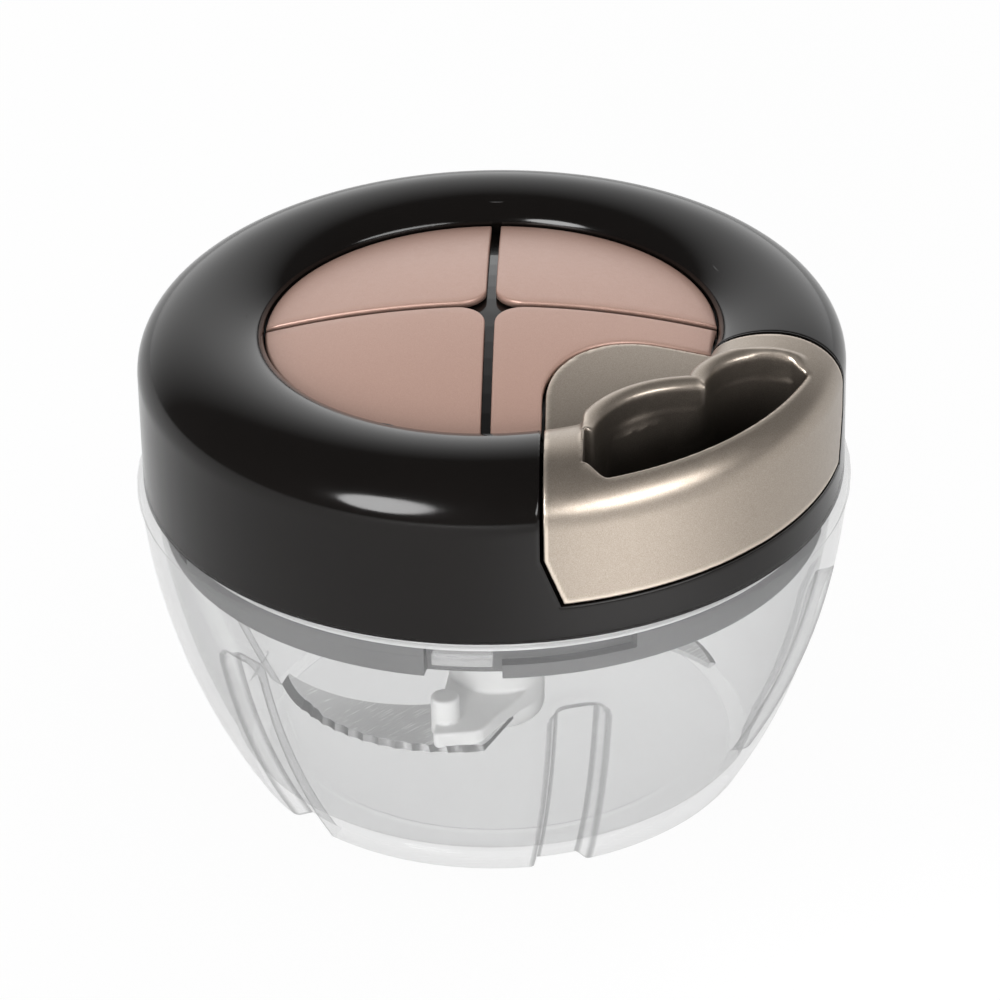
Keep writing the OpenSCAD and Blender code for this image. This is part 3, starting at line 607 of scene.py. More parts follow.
# %% Bowl wall and flutes
bowl_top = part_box("bowl")[1]
RIM_R = bowl_top.x / MM
BOWL_H = bowl_top.z / MM
FOOT_R, WALL_CURVE_R, RIM_STEP, RIM_H = 44.0, 119.0, 0.3, 1.6
BOWL_T, FLOOR_T, FOOT_RECESS, FOOT_RING_W, FLOOR_ROUND = 2.4, 2.4, 1.2, 4.0, 6.0
FLUTE_N, FLUTE_W, FLUTE_TOP, FLUTE_TURN, FLUTE_ROUND = 6, 9.8, 41.0, 30.0, 3.0
FLUTE_OUT, FLUTE_IN = (0, 2.8, 1.3), (2.5, 1.8, 4.0)
BESIDE_FLUTE = [
    0, 1.2, 2.4, 3.0, 3.3, 3.55, 3.8, 4.1, 4.4, 4.7,
    5.0, 5.35, 5.7, 6.0, 6.3, 6.6, 6.9, 7.3, 8.0, 9.0]
BETWEEN_FLUTES = 9
FLOOR_Z = FOOT_RECESS + FLOOR_T
FOOT_IN_R = FOOT_R - FOOT_RING_W
WALL_TOP_R = RIM_R - RIM_STEP


def wall_radius(z):
    """Radius of the bowl's outside at height z: an arc through foot and rim."""
    lean = WALL_TOP_R - FOOT_R
    chord = math.hypot(lean, BOWL_H)
    rise = math.sqrt(WALL_CURVE_R**2 - (chord / 2) ** 2) / chord
    cx = (FOOT_R + WALL_TOP_R) / 2 - BOWL_H * rise
    cz = BOWL_H / 2 + lean * rise
    return cx + math.sqrt(WALL_CURVE_R**2 - (z - cz) ** 2)


def flute_depth(side, z, grow, deep, soft):
    """How far a flute is pressed in at this distance from its middle: its outline grown by a margin,
    its depth and the width of its sloping sides."""
    across = np.maximum(np.abs(side) - FLUTE_W / 2 + FLUTE_ROUND, 0)
    up = max(z - FLUTE_TOP + FLUTE_ROUND, 0)
    return deep * (1 - smooth_step(-soft, 0, np.hypot(across, up) - FLUTE_ROUND - grow))


def bowl_columns(radius):
    """Angles of the columns at a radius, with each one's distance from the nearest flute."""
    reach = BESIDE_FLUTE[-1]
    sides = [-s for s in BESIDE_FLUTE[:0:-1]] + BESIDE_FLUTE
    radius = max(radius, FOOT_IN_R)
    step = 2 * math.pi / FLUTE_N
    span = step - 2 * reach / radius
    angles, offsets = [], []
    for k in range(FLUTE_N):
        middle = math.radians(FLUTE_TURN) + k * step
        angles += [middle + s / radius for s in sides]
        offsets += sides
        start = middle + reach / radius
        angles += [start + span * i / BETWEEN_FLUTES for i in range(1, BETWEEN_FLUTES)]
        offsets += [reach] * (BETWEEN_FLUTES - 1)
    return np.array(angles), np.array(offsets)


def bowl_row(radius, z, flute=None):
    """One ring of the bowl, with flutes pressed in or not."""
    angles, sides = bowl_columns(radius)
    depth = flute_depth(sides, z, *flute) if flute else 0
    r = radius - depth * np.ones(len(angles))
    return [around(ri, a, z) for ri, a in zip(r, angles)]


print("bowl rim radius and height in mm:", round(RIM_R, 1), round(BOWL_H, 1))

# %% Bowl skin
RINGS_UNDER, RINGS_INSIDE = (0.4, 4, 12, 22, 32, 36), (26, 14, 6, 4.4)
RINGS_ABOVE_FLUTES, BUSY_ABOVE, BUSY_STEP = (46, 48.5, 50.5), 3.4, 0.35
FOOT_EDGE, FLOOR_BEAD, PIN_HOLE_R = 0.5, 0.35, 2.05


def wall_heights(low, high):
    """Heights of the wall's rings: close together round the flutes' tops."""
    bend = FLUTE_TOP - FLUTE_W / 2
    calm = [low + (bend - low) * i / 10 for i in range(10)]
    busy = list(np.arange(bend, FLUTE_TOP + BUSY_ABOVE, BUSY_STEP))
    return calm + busy + [*RINGS_ABOVE_FLUTES, high]


def bowl_outside():
    """Rings from under the floor, round the foot and up the outside to the rim's top."""
    rows = [bowl_row(r, FOOT_RECESS) for r in RINGS_UNDER]
    foot = [(FOOT_IN_R - 1.0, FOOT_RECESS), (FOOT_IN_R - 0.2, FOOT_RECESS - 0.3)]
    foot += [(FOOT_IN_R, FOOT_EDGE), (FOOT_IN_R + FOOT_EDGE, 0.0)]
    rows += [bowl_row(r, z) for r, z in foot]
    rows += [bowl_row(FOOT_R - FOOT_EDGE, 0.0, FLUTE_OUT), bowl_row(FOOT_R - 0.1, 0.25, FLUTE_OUT)]
    flange_z = BOWL_H - RIM_H
    rows += [bowl_row(wall_radius(z), z, FLUTE_OUT) for z in wall_heights(0.7, flange_z - 0.3)]
    rim = [(RIM_R - 0.15, flange_z), (RIM_R, flange_z + 0.2), (RIM_R, BOWL_H - 0.4)]
    rim += [(RIM_R - 0.12, BOWL_H - 0.12), (RIM_R - 0.4, BOWL_H)]
    return rows + [bowl_row(r, z) for r, z in rim]


def bowl_inside():
    """Rings from the rim's top down the inside, round the corner and over the floor to the pin."""
    inner = wall_radius(BOWL_H) - BOWL_T
    rows = [bowl_row(inner + 0.4, BOWL_H), bowl_row(inner + 0.1, BOWL_H - 0.1)]
    corner_z = FLOOR_Z + FLOOR_ROUND
    corner_r = wall_radius(corner_z) - BOWL_T - FLOOR_ROUND
    heights = wall_heights(corner_z, BOWL_H - 0.5)[::-1]
    rows += [bowl_row(wall_radius(z) - BOWL_T, z, FLUTE_IN) for z in heights]
    sweep = arc(corner_r, corner_z, FLOOR_ROUND, FLOOR_ROUND, 0, -90, 8)[1:]
    rows += [bowl_row(r, z, FLUTE_IN if i < 3 else None) for i, (r, z) in enumerate(sweep)]
    ring = corner_r - 3
    floor = [(ring + 0.6, FLOOR_Z), (ring + 0.3, FLOOR_Z + FLOOR_BEAD)]
    floor += [(ring - 0.3, FLOOR_Z + FLOOR_BEAD), (ring - 0.6, FLOOR_Z)]
    floor += [(r, FLOOR_Z) for r in RINGS_INSIDE]
    floor += [(4.0, FLOOR_Z + 0.2), (3.6, FLOOR_Z + 0.4), (PIN_HOLE_R, FLOOR_Z + 0.4)]
    floor += [(PIN_HOLE_R - 0.02, FLOOR_Z - 1.4), (0.4, FLOOR_Z - 1.5)]
    return rows + [bowl_row(r, z) for r, z in floor]


def make_bowl():
    bm = bmesh.new()
    made = add_grid(bm, bowl_outside() + bowl_inside(), wrap=True)
    bm.faces.new(made[0])
    bm.faces.new(made[-1][::-1])
    return finish_piece(bm, "clear_bowl", "bowl", "clear_bowl", 35, ["bowl"])


bowl = make_bowl()
bowl.visible_shadow = False

# %% [markdown]
# ## Values that a mesh carries
# Painted highlight and painted shade can follow the form: the handle's outer edges are painted bright,
# partly as wear, and the bowl's clear wall is painted darker where it turns, for the lines that refraction
# would draw. The change of the normals along each edge of a mesh measures how sharply it turns.
# Stored as an attribute, a finish can read it.

# %% Bowl's edges marked


def turns(piece, smooth=0):
    """How sharply a piece turns at each corner of its mesh, in 1/mm: above 0 on outer edges and below
    0 in grooves, averaged with its neighbours. Gives the corners' places and normals too."""
    mesh = piece.data
    at = np.array([v.co for v in mesh.vertices]) / MM
    out = np.array([v.normal for v in mesh.vertices])
    a, b = np.array([e.vertices for e in mesh.edges]).T
    step = at[b] - at[a]
    bend = np.sum((out[b] - out[a]) * step, axis=1) / np.maximum(np.sum(step**2, axis=1), 0.01)
    high, low = np.zeros(len(at)), np.zeros(len(at))
    for end in (a, b):
        np.maximum.at(high, end, bend)
        np.minimum.at(low, end, bend)
    turn = np.where(high > -low, high, low)
    for _ in range(smooth):
        near, count = np.copy(turn), np.ones(len(at))
        for end, other in ((a, b), (b, a)):
            np.add.at(near, end, turn[other])
            np.add.at(count, end, 1)
        turn = near / count
    return turn, at, out


def mark(piece, name, values):
    """Keeps a value for each corner of a piece's mesh, for its finish."""
    kept = piece.data.attributes.new(name, "FLOAT", "POINT")
    kept.data.foreach_set("value", values.astype(np.float32))
    print(piece.name, name, "mean", round(float(values.mean()), 3))


def mark_outside_edges(piece):
    """Marks the sharp turns of the bowl's outside below the rim, the flutes and the foot, for painted shade
    in the film.
    """
    turn, at, out = turns(piece)
    r = np.hypot(at[:, 0], at[:, 1])
    outward = np.sum(out[:, :2] * at[:, :2], axis=1) / r > 0.1
    below = (r > FOOT_IN_R) & (at[:, 2] < BOWL_H - RIM_H - 0.5)
    mark(piece, "edge", smooth_step(0.3, 0.9, np.abs(turn)) * outward * below)


mark_outside_edges(bowl)

# %% [markdown]
# ## Lid coat
# The lid's shell is a turned form with the handle's bay cut out of it. The coat is its glossy outer
# skin, a little proud of the shell, that rolls over every edge of the bay. A bevel on the cut shell
# breaks up easily where the bay runs out on the dish, so the coat is drawn afresh: its columns start and
# end on the bay's sides, and the rolled edge follows them.

# %% Lid form
shell_low, shell_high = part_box("lid_housing")
LID_R = shell_high.y / MM
LID_Z = shell_low.z / MM
SHOULDER_W, SHOULDER_H, DISH_W, DISH_DEPTH = 12.0, 9.6, 9.4, 4.3
CREST_Z = shell_high.z / MM
CREST_R = LID_R - SHOULDER_W
PANEL_R = CREST_R - DISH_W
SHOULDER_Z = CREST_Z - SHOULDER_H
PANEL_Z = CREST_Z - DISH_DEPTH
PANEL_RISE = 5.0
CUT_OFFSET, TONGUE_ROUND, SEAM = 9.7, 18.0, 0.6
HANDLE_Z = LID_Z + 6.9
CORNER_H, CORNER_W = 8.3, 3.1


def dome(r):
    """Height of the panels' dome at a radius."""
    return PANEL_Z + PANEL_RISE * (1 - (np.asarray(r) / PANEL_R) ** 2)


def side_angle(r, z, grow):
    """Half angle of the handle's plan at a radius and height, grown outwards."""
    lean = CORNER_W * np.clip((HANDLE_Z + CORNER_H - z) / CORNER_H, 0, 1)
    return math.pi / 4 - np.arcsin((CUT_OFFSET - grow + lean) / r)


def ring_profile(proud):
    """The lid's outline from the panels over the crest and down to the wall."""
    dish = arc(CREST_R, PANEL_Z, DISH_W + proud, DISH_DEPTH + proud, 180, 90, 20)
    shoulder = arc(CREST_R, SHOULDER_Z, SHOULDER_W + proud, SHOULDER_H + proud, 90, 0, 26)[1:]
    return dish + shoulder


print("lid radius, crest and panel radius in mm:", round(LID_R, 1), round(CREST_Z, 1), round(PANEL_R, 1))

# %% Coat that rolls into the bay
COAT_PROUD, COAT_T, COAT_ROLL = 0.06, 0.2, 0.35
ROLL_IN = [
    (0.0, 1.2), (0.0, COAT_ROLL), (0.06, 0.15), (0.2, 0.06), (COAT_ROLL, 0), (0.7, 0), (1.5, 0), (3, 0)]
COAT_COLUMNS, BAY_COLUMNS = 181, 61


def normals_along(line):
    """Outward normals of a profile of (radius, height) that runs outwards and down."""
    p = np.array(line)
    way = np.gradient(p, axis=0)
    out = np.column_stack([-way[:, 1], way[:, 0]])
    return out / np.linalg.norm(out, axis=1)[:, None]


def coat_row(r, z, out_r, out_z, rolls):
    """One line of the coat from side to side of the bay, rolled in at both ends where it has to."""
    half = side_angle(r, z, SEAM)
    rolled = [
        (r - rolls * drop * out_r, half + along / r, z - rolls * drop * out_z) for along, drop in ROLL_IN]
    span = np.linspace(rolled[-1][1], 2 * math.pi - rolled[-1][1], COAT_COLUMNS)[1:-1]
    columns = rolled + [(r, a, z) for a in span]
    columns += [(q, 2 * math.pi - a, h) for q, a, h in rolled[::-1]]
    return [around(q, a, h) for q, a, h in columns]


def sill_row(r, z, bay_z):
    """One line of the coat under the bay, which rolls over the bay's lower edge."""
    half = side_angle(r, z, SEAM)
    sink = COAT_ROLL if z == bay_z else (0.1 if z > bay_z - 0.2 else 0.0)
    return [around(r - sink, a, z) for a in np.linspace(-half, half, BAY_COLUMNS)]


def make_coat():
    bay_z = HANDLE_Z - SEAM
    r_wall = LID_R + COAT_PROUD
    beside = ring_profile(COAT_PROUD)
    beside += [(r_wall, z) for z in np.linspace(SHOULDER_Z - 1, bay_z + 1.2, 10)]
    beside += [(r_wall, bay_z + 0.6), (r_wall, bay_z + 0.3), (r_wall, bay_z)]
    under = [(r_wall, bay_z - drop) for drop in (0.12, COAT_ROLL, 1, 2.5)]
    under += [(r_wall, LID_Z + 1.2), (r_wall, LID_Z + 0.5)]
    under += [(r_wall - 0.12, LID_Z + 0.15), (r_wall - 0.5, LID_Z - COAT_PROUD)]
    line = beside + under
    bm = bmesh.new()
    rows = [coat_row(r, z, *out, 1 if z >= bay_z else 0) for (r, z), out in zip(line, normals_along(line))]
    add_grid(bm, rows, flip=True)
    add_grid(bm, [sill_row(r, z, bay_z) for r, z in beside[-1:] + under], flip=True)
    finish_piece(bm, "lid_coat", "lid", "black_lid", 50, wall=COAT_T)


make_coat()

# %% [markdown]
# ## Panels
# Four rose panels lie on one shallow dome, with a dark cross between them. Cutting a dome would leave
# hard, uneven edges, so each panel is drawn flat first, as an outline with a round inner corner. The
# dome then gives the height, and the outer rows roll over the edge to catch a thin line of light.

# %% Panel outlines
CROSS_GAP, STAR_ROUND, PANEL_GAP, PANEL_SKIN = 1.6, 5.0, 0.35, 0.96
EDGE_ROLL = [(0.0, 1.3), (0.0, 0.5), (0.04, 0.28), (0.14, 0.13), (0.3, 0.04), (0.5, 0.0)]
PANEL_REACH = PANEL_R - PANEL_GAP


def wedge_side(offset, corner, n=14):
    """Half of a wedge's outline from its round tip to where its side meets the panels' rim."""
    tip = offset * math.sqrt(2)
    centre = tip + corner * math.sqrt(2)
    points = [(centre - corner * math.cos(a), corner * math.sin(a)) for a in np.linspace(0, math.pi / 4, 13)]
    end = math.pi / 4 - math.asin(offset / PANEL_REACH)
    x1, y1 = PANEL_REACH * math.cos(end), PANEL_REACH * math.sin(end)
    x0, y0 = points[-1]
    points += [(x0 + (x1 - x0) * i / n, y0 + (y1 - y0) * i / n) for i in range(1, n + 1)]
    return points


def shrink_to(outline, middle, inset):
    """The outline drawn in by inset along lines to a middle point."""
    out = []
    for x, y in outline:
        dx, dy = middle[0] - x, middle[1] - y
        far = math.hypot(dx, dy)
        out.append((x + dx * inset / far, y + dy * inset / far))
    return out


def cos_sin(degrees):
    """Cosine and sine of an angle in degrees."""
    a = math.radians(degrees)
    return math.cos(a), math.sin(a)


def on_dome(points, turn, drop):
    """Flat points turned by degrees round the axis and laid on the dome, lowered by drop."""
    c, s = cos_sin(turn)
    return [(x * c - y * s, x * s + y * c, dome(math.hypot(x, y)) - drop) for x, y in points]


print("panel reach in mm:", round(PANEL_REACH, 2))

# %% [markdown]
# ## Front panel
# The handle's tongue cuts into the fourth panel and leaves a bent strip of it. The strip runs between
# two outlines with the same number of evenly spread points, so its quads bend round the tongue.

# %% Front panel round the tongue


def spread_evenly(points, n=70):
    """Half an outline mirrored, with n points at even steps along it."""
    p = np.array([(x, -y) for x, y in points[:0:-1]] + points)
    step = np.concatenate([[0], np.cumsum(np.hypot(*np.diff(p, axis=0).T))])
    at = np.linspace(0, step[-1], n)
    return np.column_stack([np.interp(at, step, p[:, 0]), np.interp(at, step, p[:, 1])])


def make_front_panel():
    a = spread_evenly(wedge_side(CROSS_GAP / 2, STAR_ROUND, 40))
    b = spread_evenly(wedge_side(CUT_OFFSET - SEAM, TONGUE_ROUND + SEAM, 40))
    width = np.linalg.norm(b - a, axis=1)[:, None]
    rows = [on_dome(a + (b - a) * inset / width, 0, drop) for inset, drop in EDGE_ROLL]
    rows += [on_dome(a + (b - a) * share, 0, 0) for share in np.linspace(0.12, 0.88, 8)]
    rows += [on_dome(b + (a - b) * inset / width, 0, drop) for inset, drop in EDGE_ROLL[::-1]]
    bm = bmesh.new()
    add_grid(bm, rows)
    finish_piece(bm, "rose_front", "lid", "rose_panel", 60, ["panel_front"], wall=PANEL_SKIN)


make_front_panel()

# %% [markdown]
# ## Whole panels
# The other three are alike, so one function makes them and a turn puts each in its quarter. Rings that
# shrink towards the middle fill the outline, with one point at the end.

# %% Three whole panels


def make_panel(name, stands_for, turn):
    side = wedge_side(CROSS_GAP / 2, STAR_ROUND)
    end = math.atan2(side[-1][1], side[-1][0])
    rim = [(PANEL_REACH * math.cos(a), PANEL_REACH * math.sin(a)) for a in np.linspace(end, -end, 49)[1:-1]]
    outline = side + rim + [(x, -y) for x, y in side[:0:-1]]
    middle = (0.6 * PANEL_REACH, 0.0)
    rows = [on_dome(shrink_to(outline, middle, inset), turn, drop) for inset, drop in EDGE_ROLL]
    inner = shrink_to(outline, middle, EDGE_ROLL[-1][0])
    for share in (0.12, 0.28, 0.46, 0.64, 0.82, 0.94):
        ring = [(x + (middle[0] - x) * share, y + (middle[1] - y) * share) for x, y in inner]
        rows.append(on_dome(ring, turn, 0))
    bm = bmesh.new()
    made = add_grid(bm, rows, wrap=True)
    centre = bm.verts.new(Vector(on_dome([middle], turn, 0)[0]) * MM)
    last = made[-1]
    for i, v in enumerate(last):
        bm.faces.new([v, last[(i + 1) % len(last)], centre])
    finish_piece(bm, name, "lid", "rose_panel", 60, [stands_for], wall=PANEL_SKIN)


for side, turn in (("left", 90), ("back", 180), ("right", 270)):
    make_panel("rose_" + side, "panel_" + side, turn)

# %% [markdown]
# ## Sculpting with distances
# The handle and the blade hub are soft unions of simple forms with rounded edges. A distance field
# writes that down directly: a function that is negative inside and positive outside, where a rounded
# union or cut is a rounded minimum or maximum. The field is sampled on a lattice, one vertex is set
# in each cell that the surface crosses, and each vertex is then moved onto the surface itself. The
# field's slope gives the shading normals, so even thin rounded edges catch light cleanly.

# %% Field helpers


def soft_max(a, b, r):
    """Larger of two distances, with the edge between them rounded by r."""
    h = np.clip(0.5 + 0.5 * (a - b) / r, 0, 1)
    return b + (a - b) * h + r * h * (1 - h)


def soft_min(a, b, r):
    """Smaller of two distances, with the corner between them filled by r."""
    return -soft_max(-a, -b, r)


print("two touching forms blended by 1 mm gain, in mm:", -float(soft_min(0.0, 0.0, 1.0)))

# %% Sculptor


def slope_of(field, points, h=0.02):
    """Gradient of a field at points, by small steps along each axis."""
    parts = []
    for axis in np.eye(3) * h:
        parts.append((field(points + axis) - field(points - axis)) / (2 * h))
    return np.stack(parts, axis=1)


def quads_between(inside, index):
    """A quad for each lattice edge that crosses the surface, from the cells round that edge."""
    n = inside.shape
    quads = []
    for axis in range(3):
        b, c = (axis + 1) % 3, (axis + 2) % 3
        first = np.moveaxis(inside, axis, 0)
        change = np.argwhere(first[:-1] != first[1:])
        order = np.argsort([axis] + [d for d in range(3) if d != axis])
        at = change[:, order]
        at = at[(at[:, b] > 0) & (at[:, c] > 0) & (at[:, b] < n[b] - 1) & (at[:, c] < n[c] - 1)]
        ring = []
        for db, dc in ((1, 1), (0, 1), (0, 0), (1, 0)):
            q = at.copy()
            q[:, b] -= db
            q[:, c] -= dc
            ring.append(index[q[:, 0], q[:, 1], q[:, 2]])
        ring = np.stack(ring, axis=1)
        leaving = inside[at[:, 0], at[:, 1], at[:, 2]]
        quads.append(np.where(leaving[:, None], ring, ring[:, ::-1]))
    return np.concatenate(quads)


def sculpt(field, low, high, cell):
    """Vertices, quads and normals of a field's zero surface inside a box, in mm."""
    axes = [np.arange(a, b + cell, cell) for a, b in zip(low, high)]
    n = [len(a) for a in axes]
    lattice = np.stack(np.meshgrid(*axes, indexing="ij"), axis=-1).reshape(-1, 3)
    inside = (field(lattice) < 0).reshape(n)
    corners = [inside[i:n[0] - 1 + i, j:n[1] - 1 + j, k:n[2] - 1 + k]
               for i in (0, 1) for j in (0, 1) for k in (0, 1)]
    count = sum(c.astype(int) for c in corners)
    crossed = (count > 0) & (count < 8)
    index = -np.ones(crossed.shape, int)
    index[crossed] = np.arange(crossed.sum())
    points = np.array(low) + (np.argwhere(crossed) + 0.5) * cell
    for _ in range(6):
        slope = slope_of(field, points)
        step = field(points)[:, None] * slope / np.maximum((slope**2).sum(1), 1e-6)[:, None]
        points = points - np.clip(step, -0.45 * cell, 0.45 * cell)
    normals = slope_of(field, points)
    normals /= np.maximum(np.linalg.norm(normals, axis=1), 1e-6)[:, None]
    return points, quads_between(inside, index), normals


def sculpted_piece(field, low, high, cell, name, body, slot, replaces):
    """A sculpted field as a piece that rides on a body."""
    points, quads, normals = sculpt(field, low, high, cell)
    mesh = bpy.data.meshes.new(name)
    mesh.from_pydata((points * MM).tolist(), [], quads.tolist())
    mesh.shade_smooth()
    mesh.normals_split_custom_set_from_vertices(normals.tolist())
    return add_piece(mesh, name, body, slot, replaces)


# %% [markdown]
# ## Pull handle
# The handle carries the lid's own shoulder across its quarter. Between two stubs of the ring it drops
# to the level of the panels, where a bead rises round the two lobes of the finger opening. So many
# forms run into each other here that a field is far easier than joined grids: first the forms that it
# is made of, each as its own distance, then the handle as their union and cuts.

# %% Forms of the handle
LOBE, LOBE_R = (55.2, -6.8), 16.4
SMALL, SMALL_R = (52.5, 13.7), 10.7
HEART_R = 55.9
STUB_AT, STUB_ROUND, STUB_R = 16.2, 2.0, 53.0
NOTCH_AT, NOTCH_LEN, NOTCH_SLANT, NOTCH_W = 42.2, 8.3, 2.1, 4.0
BEAD_W, BEAD_TOP, BEAD_R = 3.8, 84.8, 54.5
FLAT_R, FLAT_DIP, FLAT_DIP_LEN = 54, 0.4, 1.6
FLAT_COS, NOTCH_COS = 0.97, 0.88
ROOT_2 = math.sqrt(2)


def ring_field(r, z):
    """Distance to the lid's ring: shoulder outside the crest, dish inside it, wall below."""
    dx = r - CREST_R

    def oval(dz, a, b):
        k0 = np.sqrt((dx / a) ** 2 + (dz / b) ** 2)
        k1 = np.sqrt((dx / a**2) ** 2 + (dz / b**2) ** 2)
        return k0 * (k0 - 1) / np.maximum(k1, 1e-9)

    shoulder = np.where(z > SHOULDER_Z, oval(z - SHOULDER_Z, SHOULDER_W, SHOULDER_H), r - LID_R)
    dish = np.where(z > PANEL_Z, oval(z - PANEL_Z, DISH_W, DISH_DEPTH), PANEL_R - r)
    return np.where(dx > 0, shoulder, dish)


def rounded_wedge(q1, q2, corner):
    """Distance to a right-angled wedge with a round corner, from depths q1 and q2 inside its sides."""
    near = np.hypot(np.maximum(corner - q1, 0), np.maximum(corner - q2, 0)) - corner
    return np.where((q1 < corner) & (q2 < corner), near, -np.minimum(q1, q2))


def opening_field(x, y, z, r):
    """Distances to the two lobes, and to the finger opening: the lobes inside the front edge, and a
    corner. The cusp between the lobes softens with depth."""
    wide = np.hypot(x - LOBE[0], y - LOBE[1]) - LOBE_R
    small = np.hypot(x - SMALL[0], y - SMALL[1]) - SMALL_R
    lobes = np.minimum(wide, small)
    across, along = (x + y) / ROOT_2, (x - y) / ROOT_2
    lean = (along - NOTCH_AT - NOTCH_LEN - (across - STUB_AT) * NOTCH_SLANT / NOTCH_W) * NOTCH_COS
    corner = np.maximum.reduce([STUB_AT - across, across - STUB_AT - 2 * NOTCH_W, NOTCH_AT - along, lean])
    both = soft_min(wide, small, np.clip(0.5 * (BEAD_TOP - z), 0.5, 6))
    return lobes, soft_max(soft_min(both, corner, 1.5), r - HEART_R, 0.8)


def bead_field(z, r, d1, d2, lobes):
    """Distance to the bead round the lobes, which follows the shoulder down and ends in the stubs."""
    fall = np.clip((r - CREST_R) / SHOULDER_W, 0, 0.98)
    top = BEAD_TOP - SHOULDER_H * (1 - np.sqrt(1 - fall**2))
    ridge = np.hypot(lobes - BEAD_W / 2, np.maximum(z - top + BEAD_W / 2, 0)) - BEAD_W / 2
    bead = soft_max(soft_max(ridge, STUB_AT - 0.3 - d1, 0.6), STUB_AT - 0.9 - d2, 0.9)
    return soft_max(bead, r - BEAD_R, 1.5)


def skin_field(z, r, d1, d2, ring):
    """Distance to the handle's top without the bead: the ring, lowered to the panels between its stubs."""
    level = np.where(r < PANEL_R, dome(r), PANEL_Z - FLAT_DIP * (1 - np.exp((PANEL_R - r) / FLAT_DIP_LEN)))
    flat = np.maximum((z - level) * FLAT_COS, r - FLAT_R)
    stub = rounded_wedge(d1 - STUB_AT, d2 - STUB_AT, STUB_ROUND)
    pocket = soft_max(stub, r - STUB_R, 0.5)
    return soft_min(flat, soft_max(ring, -pocket, 0.7), 0.5)


def plan_field(z, d1, d2):
    """Distance to the handle's plan: a wedge with a round tip, whose lower corners are cut aslant."""
    slant = CORNER_W / CORNER_H
    side = rounded_wedge(d1 - CUT_OFFSET, d2 - CUT_OFFSET, TONGUE_ROUND)
    low = slant * (HANDLE_Z + CORNER_H - z)
    lean = np.maximum(low - (d1 - CUT_OFFSET), low - (d2 - CUT_OFFSET)) / math.hypot(1, slant)
    return np.maximum(side, lean)


print("the two lobes span, in mm:", round(SMALL[1] + SMALL_R - LOBE[1] + LOBE_R, 1))

# %% Handle as a field
HANDLE_T, HANDLE_HEM, WELL_T = 2.2, 0.25, 1.8
BACK_R, CORD_Z = PANEL_R + SEAM, 65.8
BOSS_X, BOSS_END, KNOT_R, CORD_R = 40.1, 46.1, 1.8, 0.9
WELL_ZS, WELL_BACKS = [66, 78, 82], [BACK_R + HANDLE_T, BACK_R + 0.8, PANEL_R - 0.4]
LIP_RS, LIP_ROUNDS = [47, 52], [0.45, 1.0]
# Painted shade down the finger opening: how much of it at two heights.
SHADE_ZS, SHADE_AMOUNTS = [66, 83.5], [0.93, 0.42]


def with_cord_boss(x, y, z, solid):
    """Adds the boss on the back wall that holds the knot, bored for knot and cord."""
    reach = np.hypot(y, z - CORD_Z)
    boss = np.maximum.reduce([reach - 2 * KNOT_R, BOSS_X - x, x - BOSS_END])
    bore = np.maximum(reach - KNOT_R - 0.05, BOSS_END - 1.5 * KNOT_R - x)
    bore = np.minimum(bore, reach - CORD_R - 0.3)
    bored = np.maximum(np.minimum(solid, boss), -np.maximum(bore, x - BOSS_END - 1))
    return np.where(x < BOSS_END + 2, bored, solid)


def handle_field(p):
    x, y, z = p.T
    r = np.hypot(x, y)
    d1, d2 = (x + y) / ROOT_2, (x - y) / ROOT_2
    ring = ring_field(r, z)
    lobes, hole = opening_field(x, y, z, r)
    plan = plan_field(z, d1, d2)
    skin = soft_min(skin_field(z, r, d1, d2, ring), bead_field(z, r, d1, d2, lobes), 1.0)
    solid = soft_max(skin, np.maximum(plan, HANDLE_Z - HANDLE_HEM - z), 0.35)
    under = np.maximum(r - BACK_R, z - dome(r) + HANDLE_T)
    hollow = np.maximum.reduce([
        ring + HANDLE_T, plan + HANDLE_T, BACK_R + HANDLE_T - r, WELL_T - hole, z - PANEL_Z + HANDLE_T])
    solid = np.maximum(np.maximum(solid, -under), -hollow)
    well = soft_max(hole, np.interp(z, WELL_ZS, WELL_BACKS) - r, 1.2)
    solid = soft_max(solid, -well, np.interp(r, LIP_RS, LIP_ROUNDS))
    return with_cord_boss(x, y, z, solid)


def unshaded_share(x, y, z):
    """How much a point escapes the painted shade: 1 outside, less and less down the opening."""
    hole = opening_field(x, y, z, np.hypot(x, y))[1]
    return 1 - smooth_step(0.5, 0.1, hole) * np.interp(z, SHADE_ZS, SHADE_AMOUNTS)


handle = sculpted_piece(
    handle_field, (20.6, -35.6, 60.6), (60.8, 35.6, 85.8), 0.4,
    "handle_shell", "handle", "nickel_handle", ["pull_handle"])
turn, points, _ = turns(handle, smooth=3)
# Painted shade down the opening, and a painted highlight, partly wear, on outer edges.
mark(handle, "opening_shade", unshaded_share(*points.T))
mark(handle, "wear_and_highlight", smooth_step(0.4, 1.3, turn))

# %% [markdown]
# ## Blade hub
# A white column on the bowl's pin, with an arm under each blade and a clamp over it that carries a
# peg. Cylinders and boxes with bevels would meet in hard lines, and the moulded parts run softly into
# each other, so it is a field too. The clamp's sides leave the column as tangents, and its front runs
# along the cutting edge.

# %% Hub as a field
hub_low, hub_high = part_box("blade_hub")
HUB_Z, HUB_TOP, HUB_R, HUB_FOOT_R = hub_low.z / MM, hub_high.z / MM, 6.8, 8.1
BLADE_TURN, BLADE_ZS = -76.0, (9.0, 14.0)
ARM_LEN, ARM_W, ARM_H = 15.5, 11.0, 3.6
PEG_AT, PEG_R, PEG_H = (17.9, 0.6), 2.5, 8.0
CLAMP_H = 3.5
CLAMP_SIDES = ((90, 8.1), (38, 19.7), (-65, 8.5), (180, 0.0))
SOCKET_R, SOCKET_D, BORE_TOP = 5.4, 11.0, 16


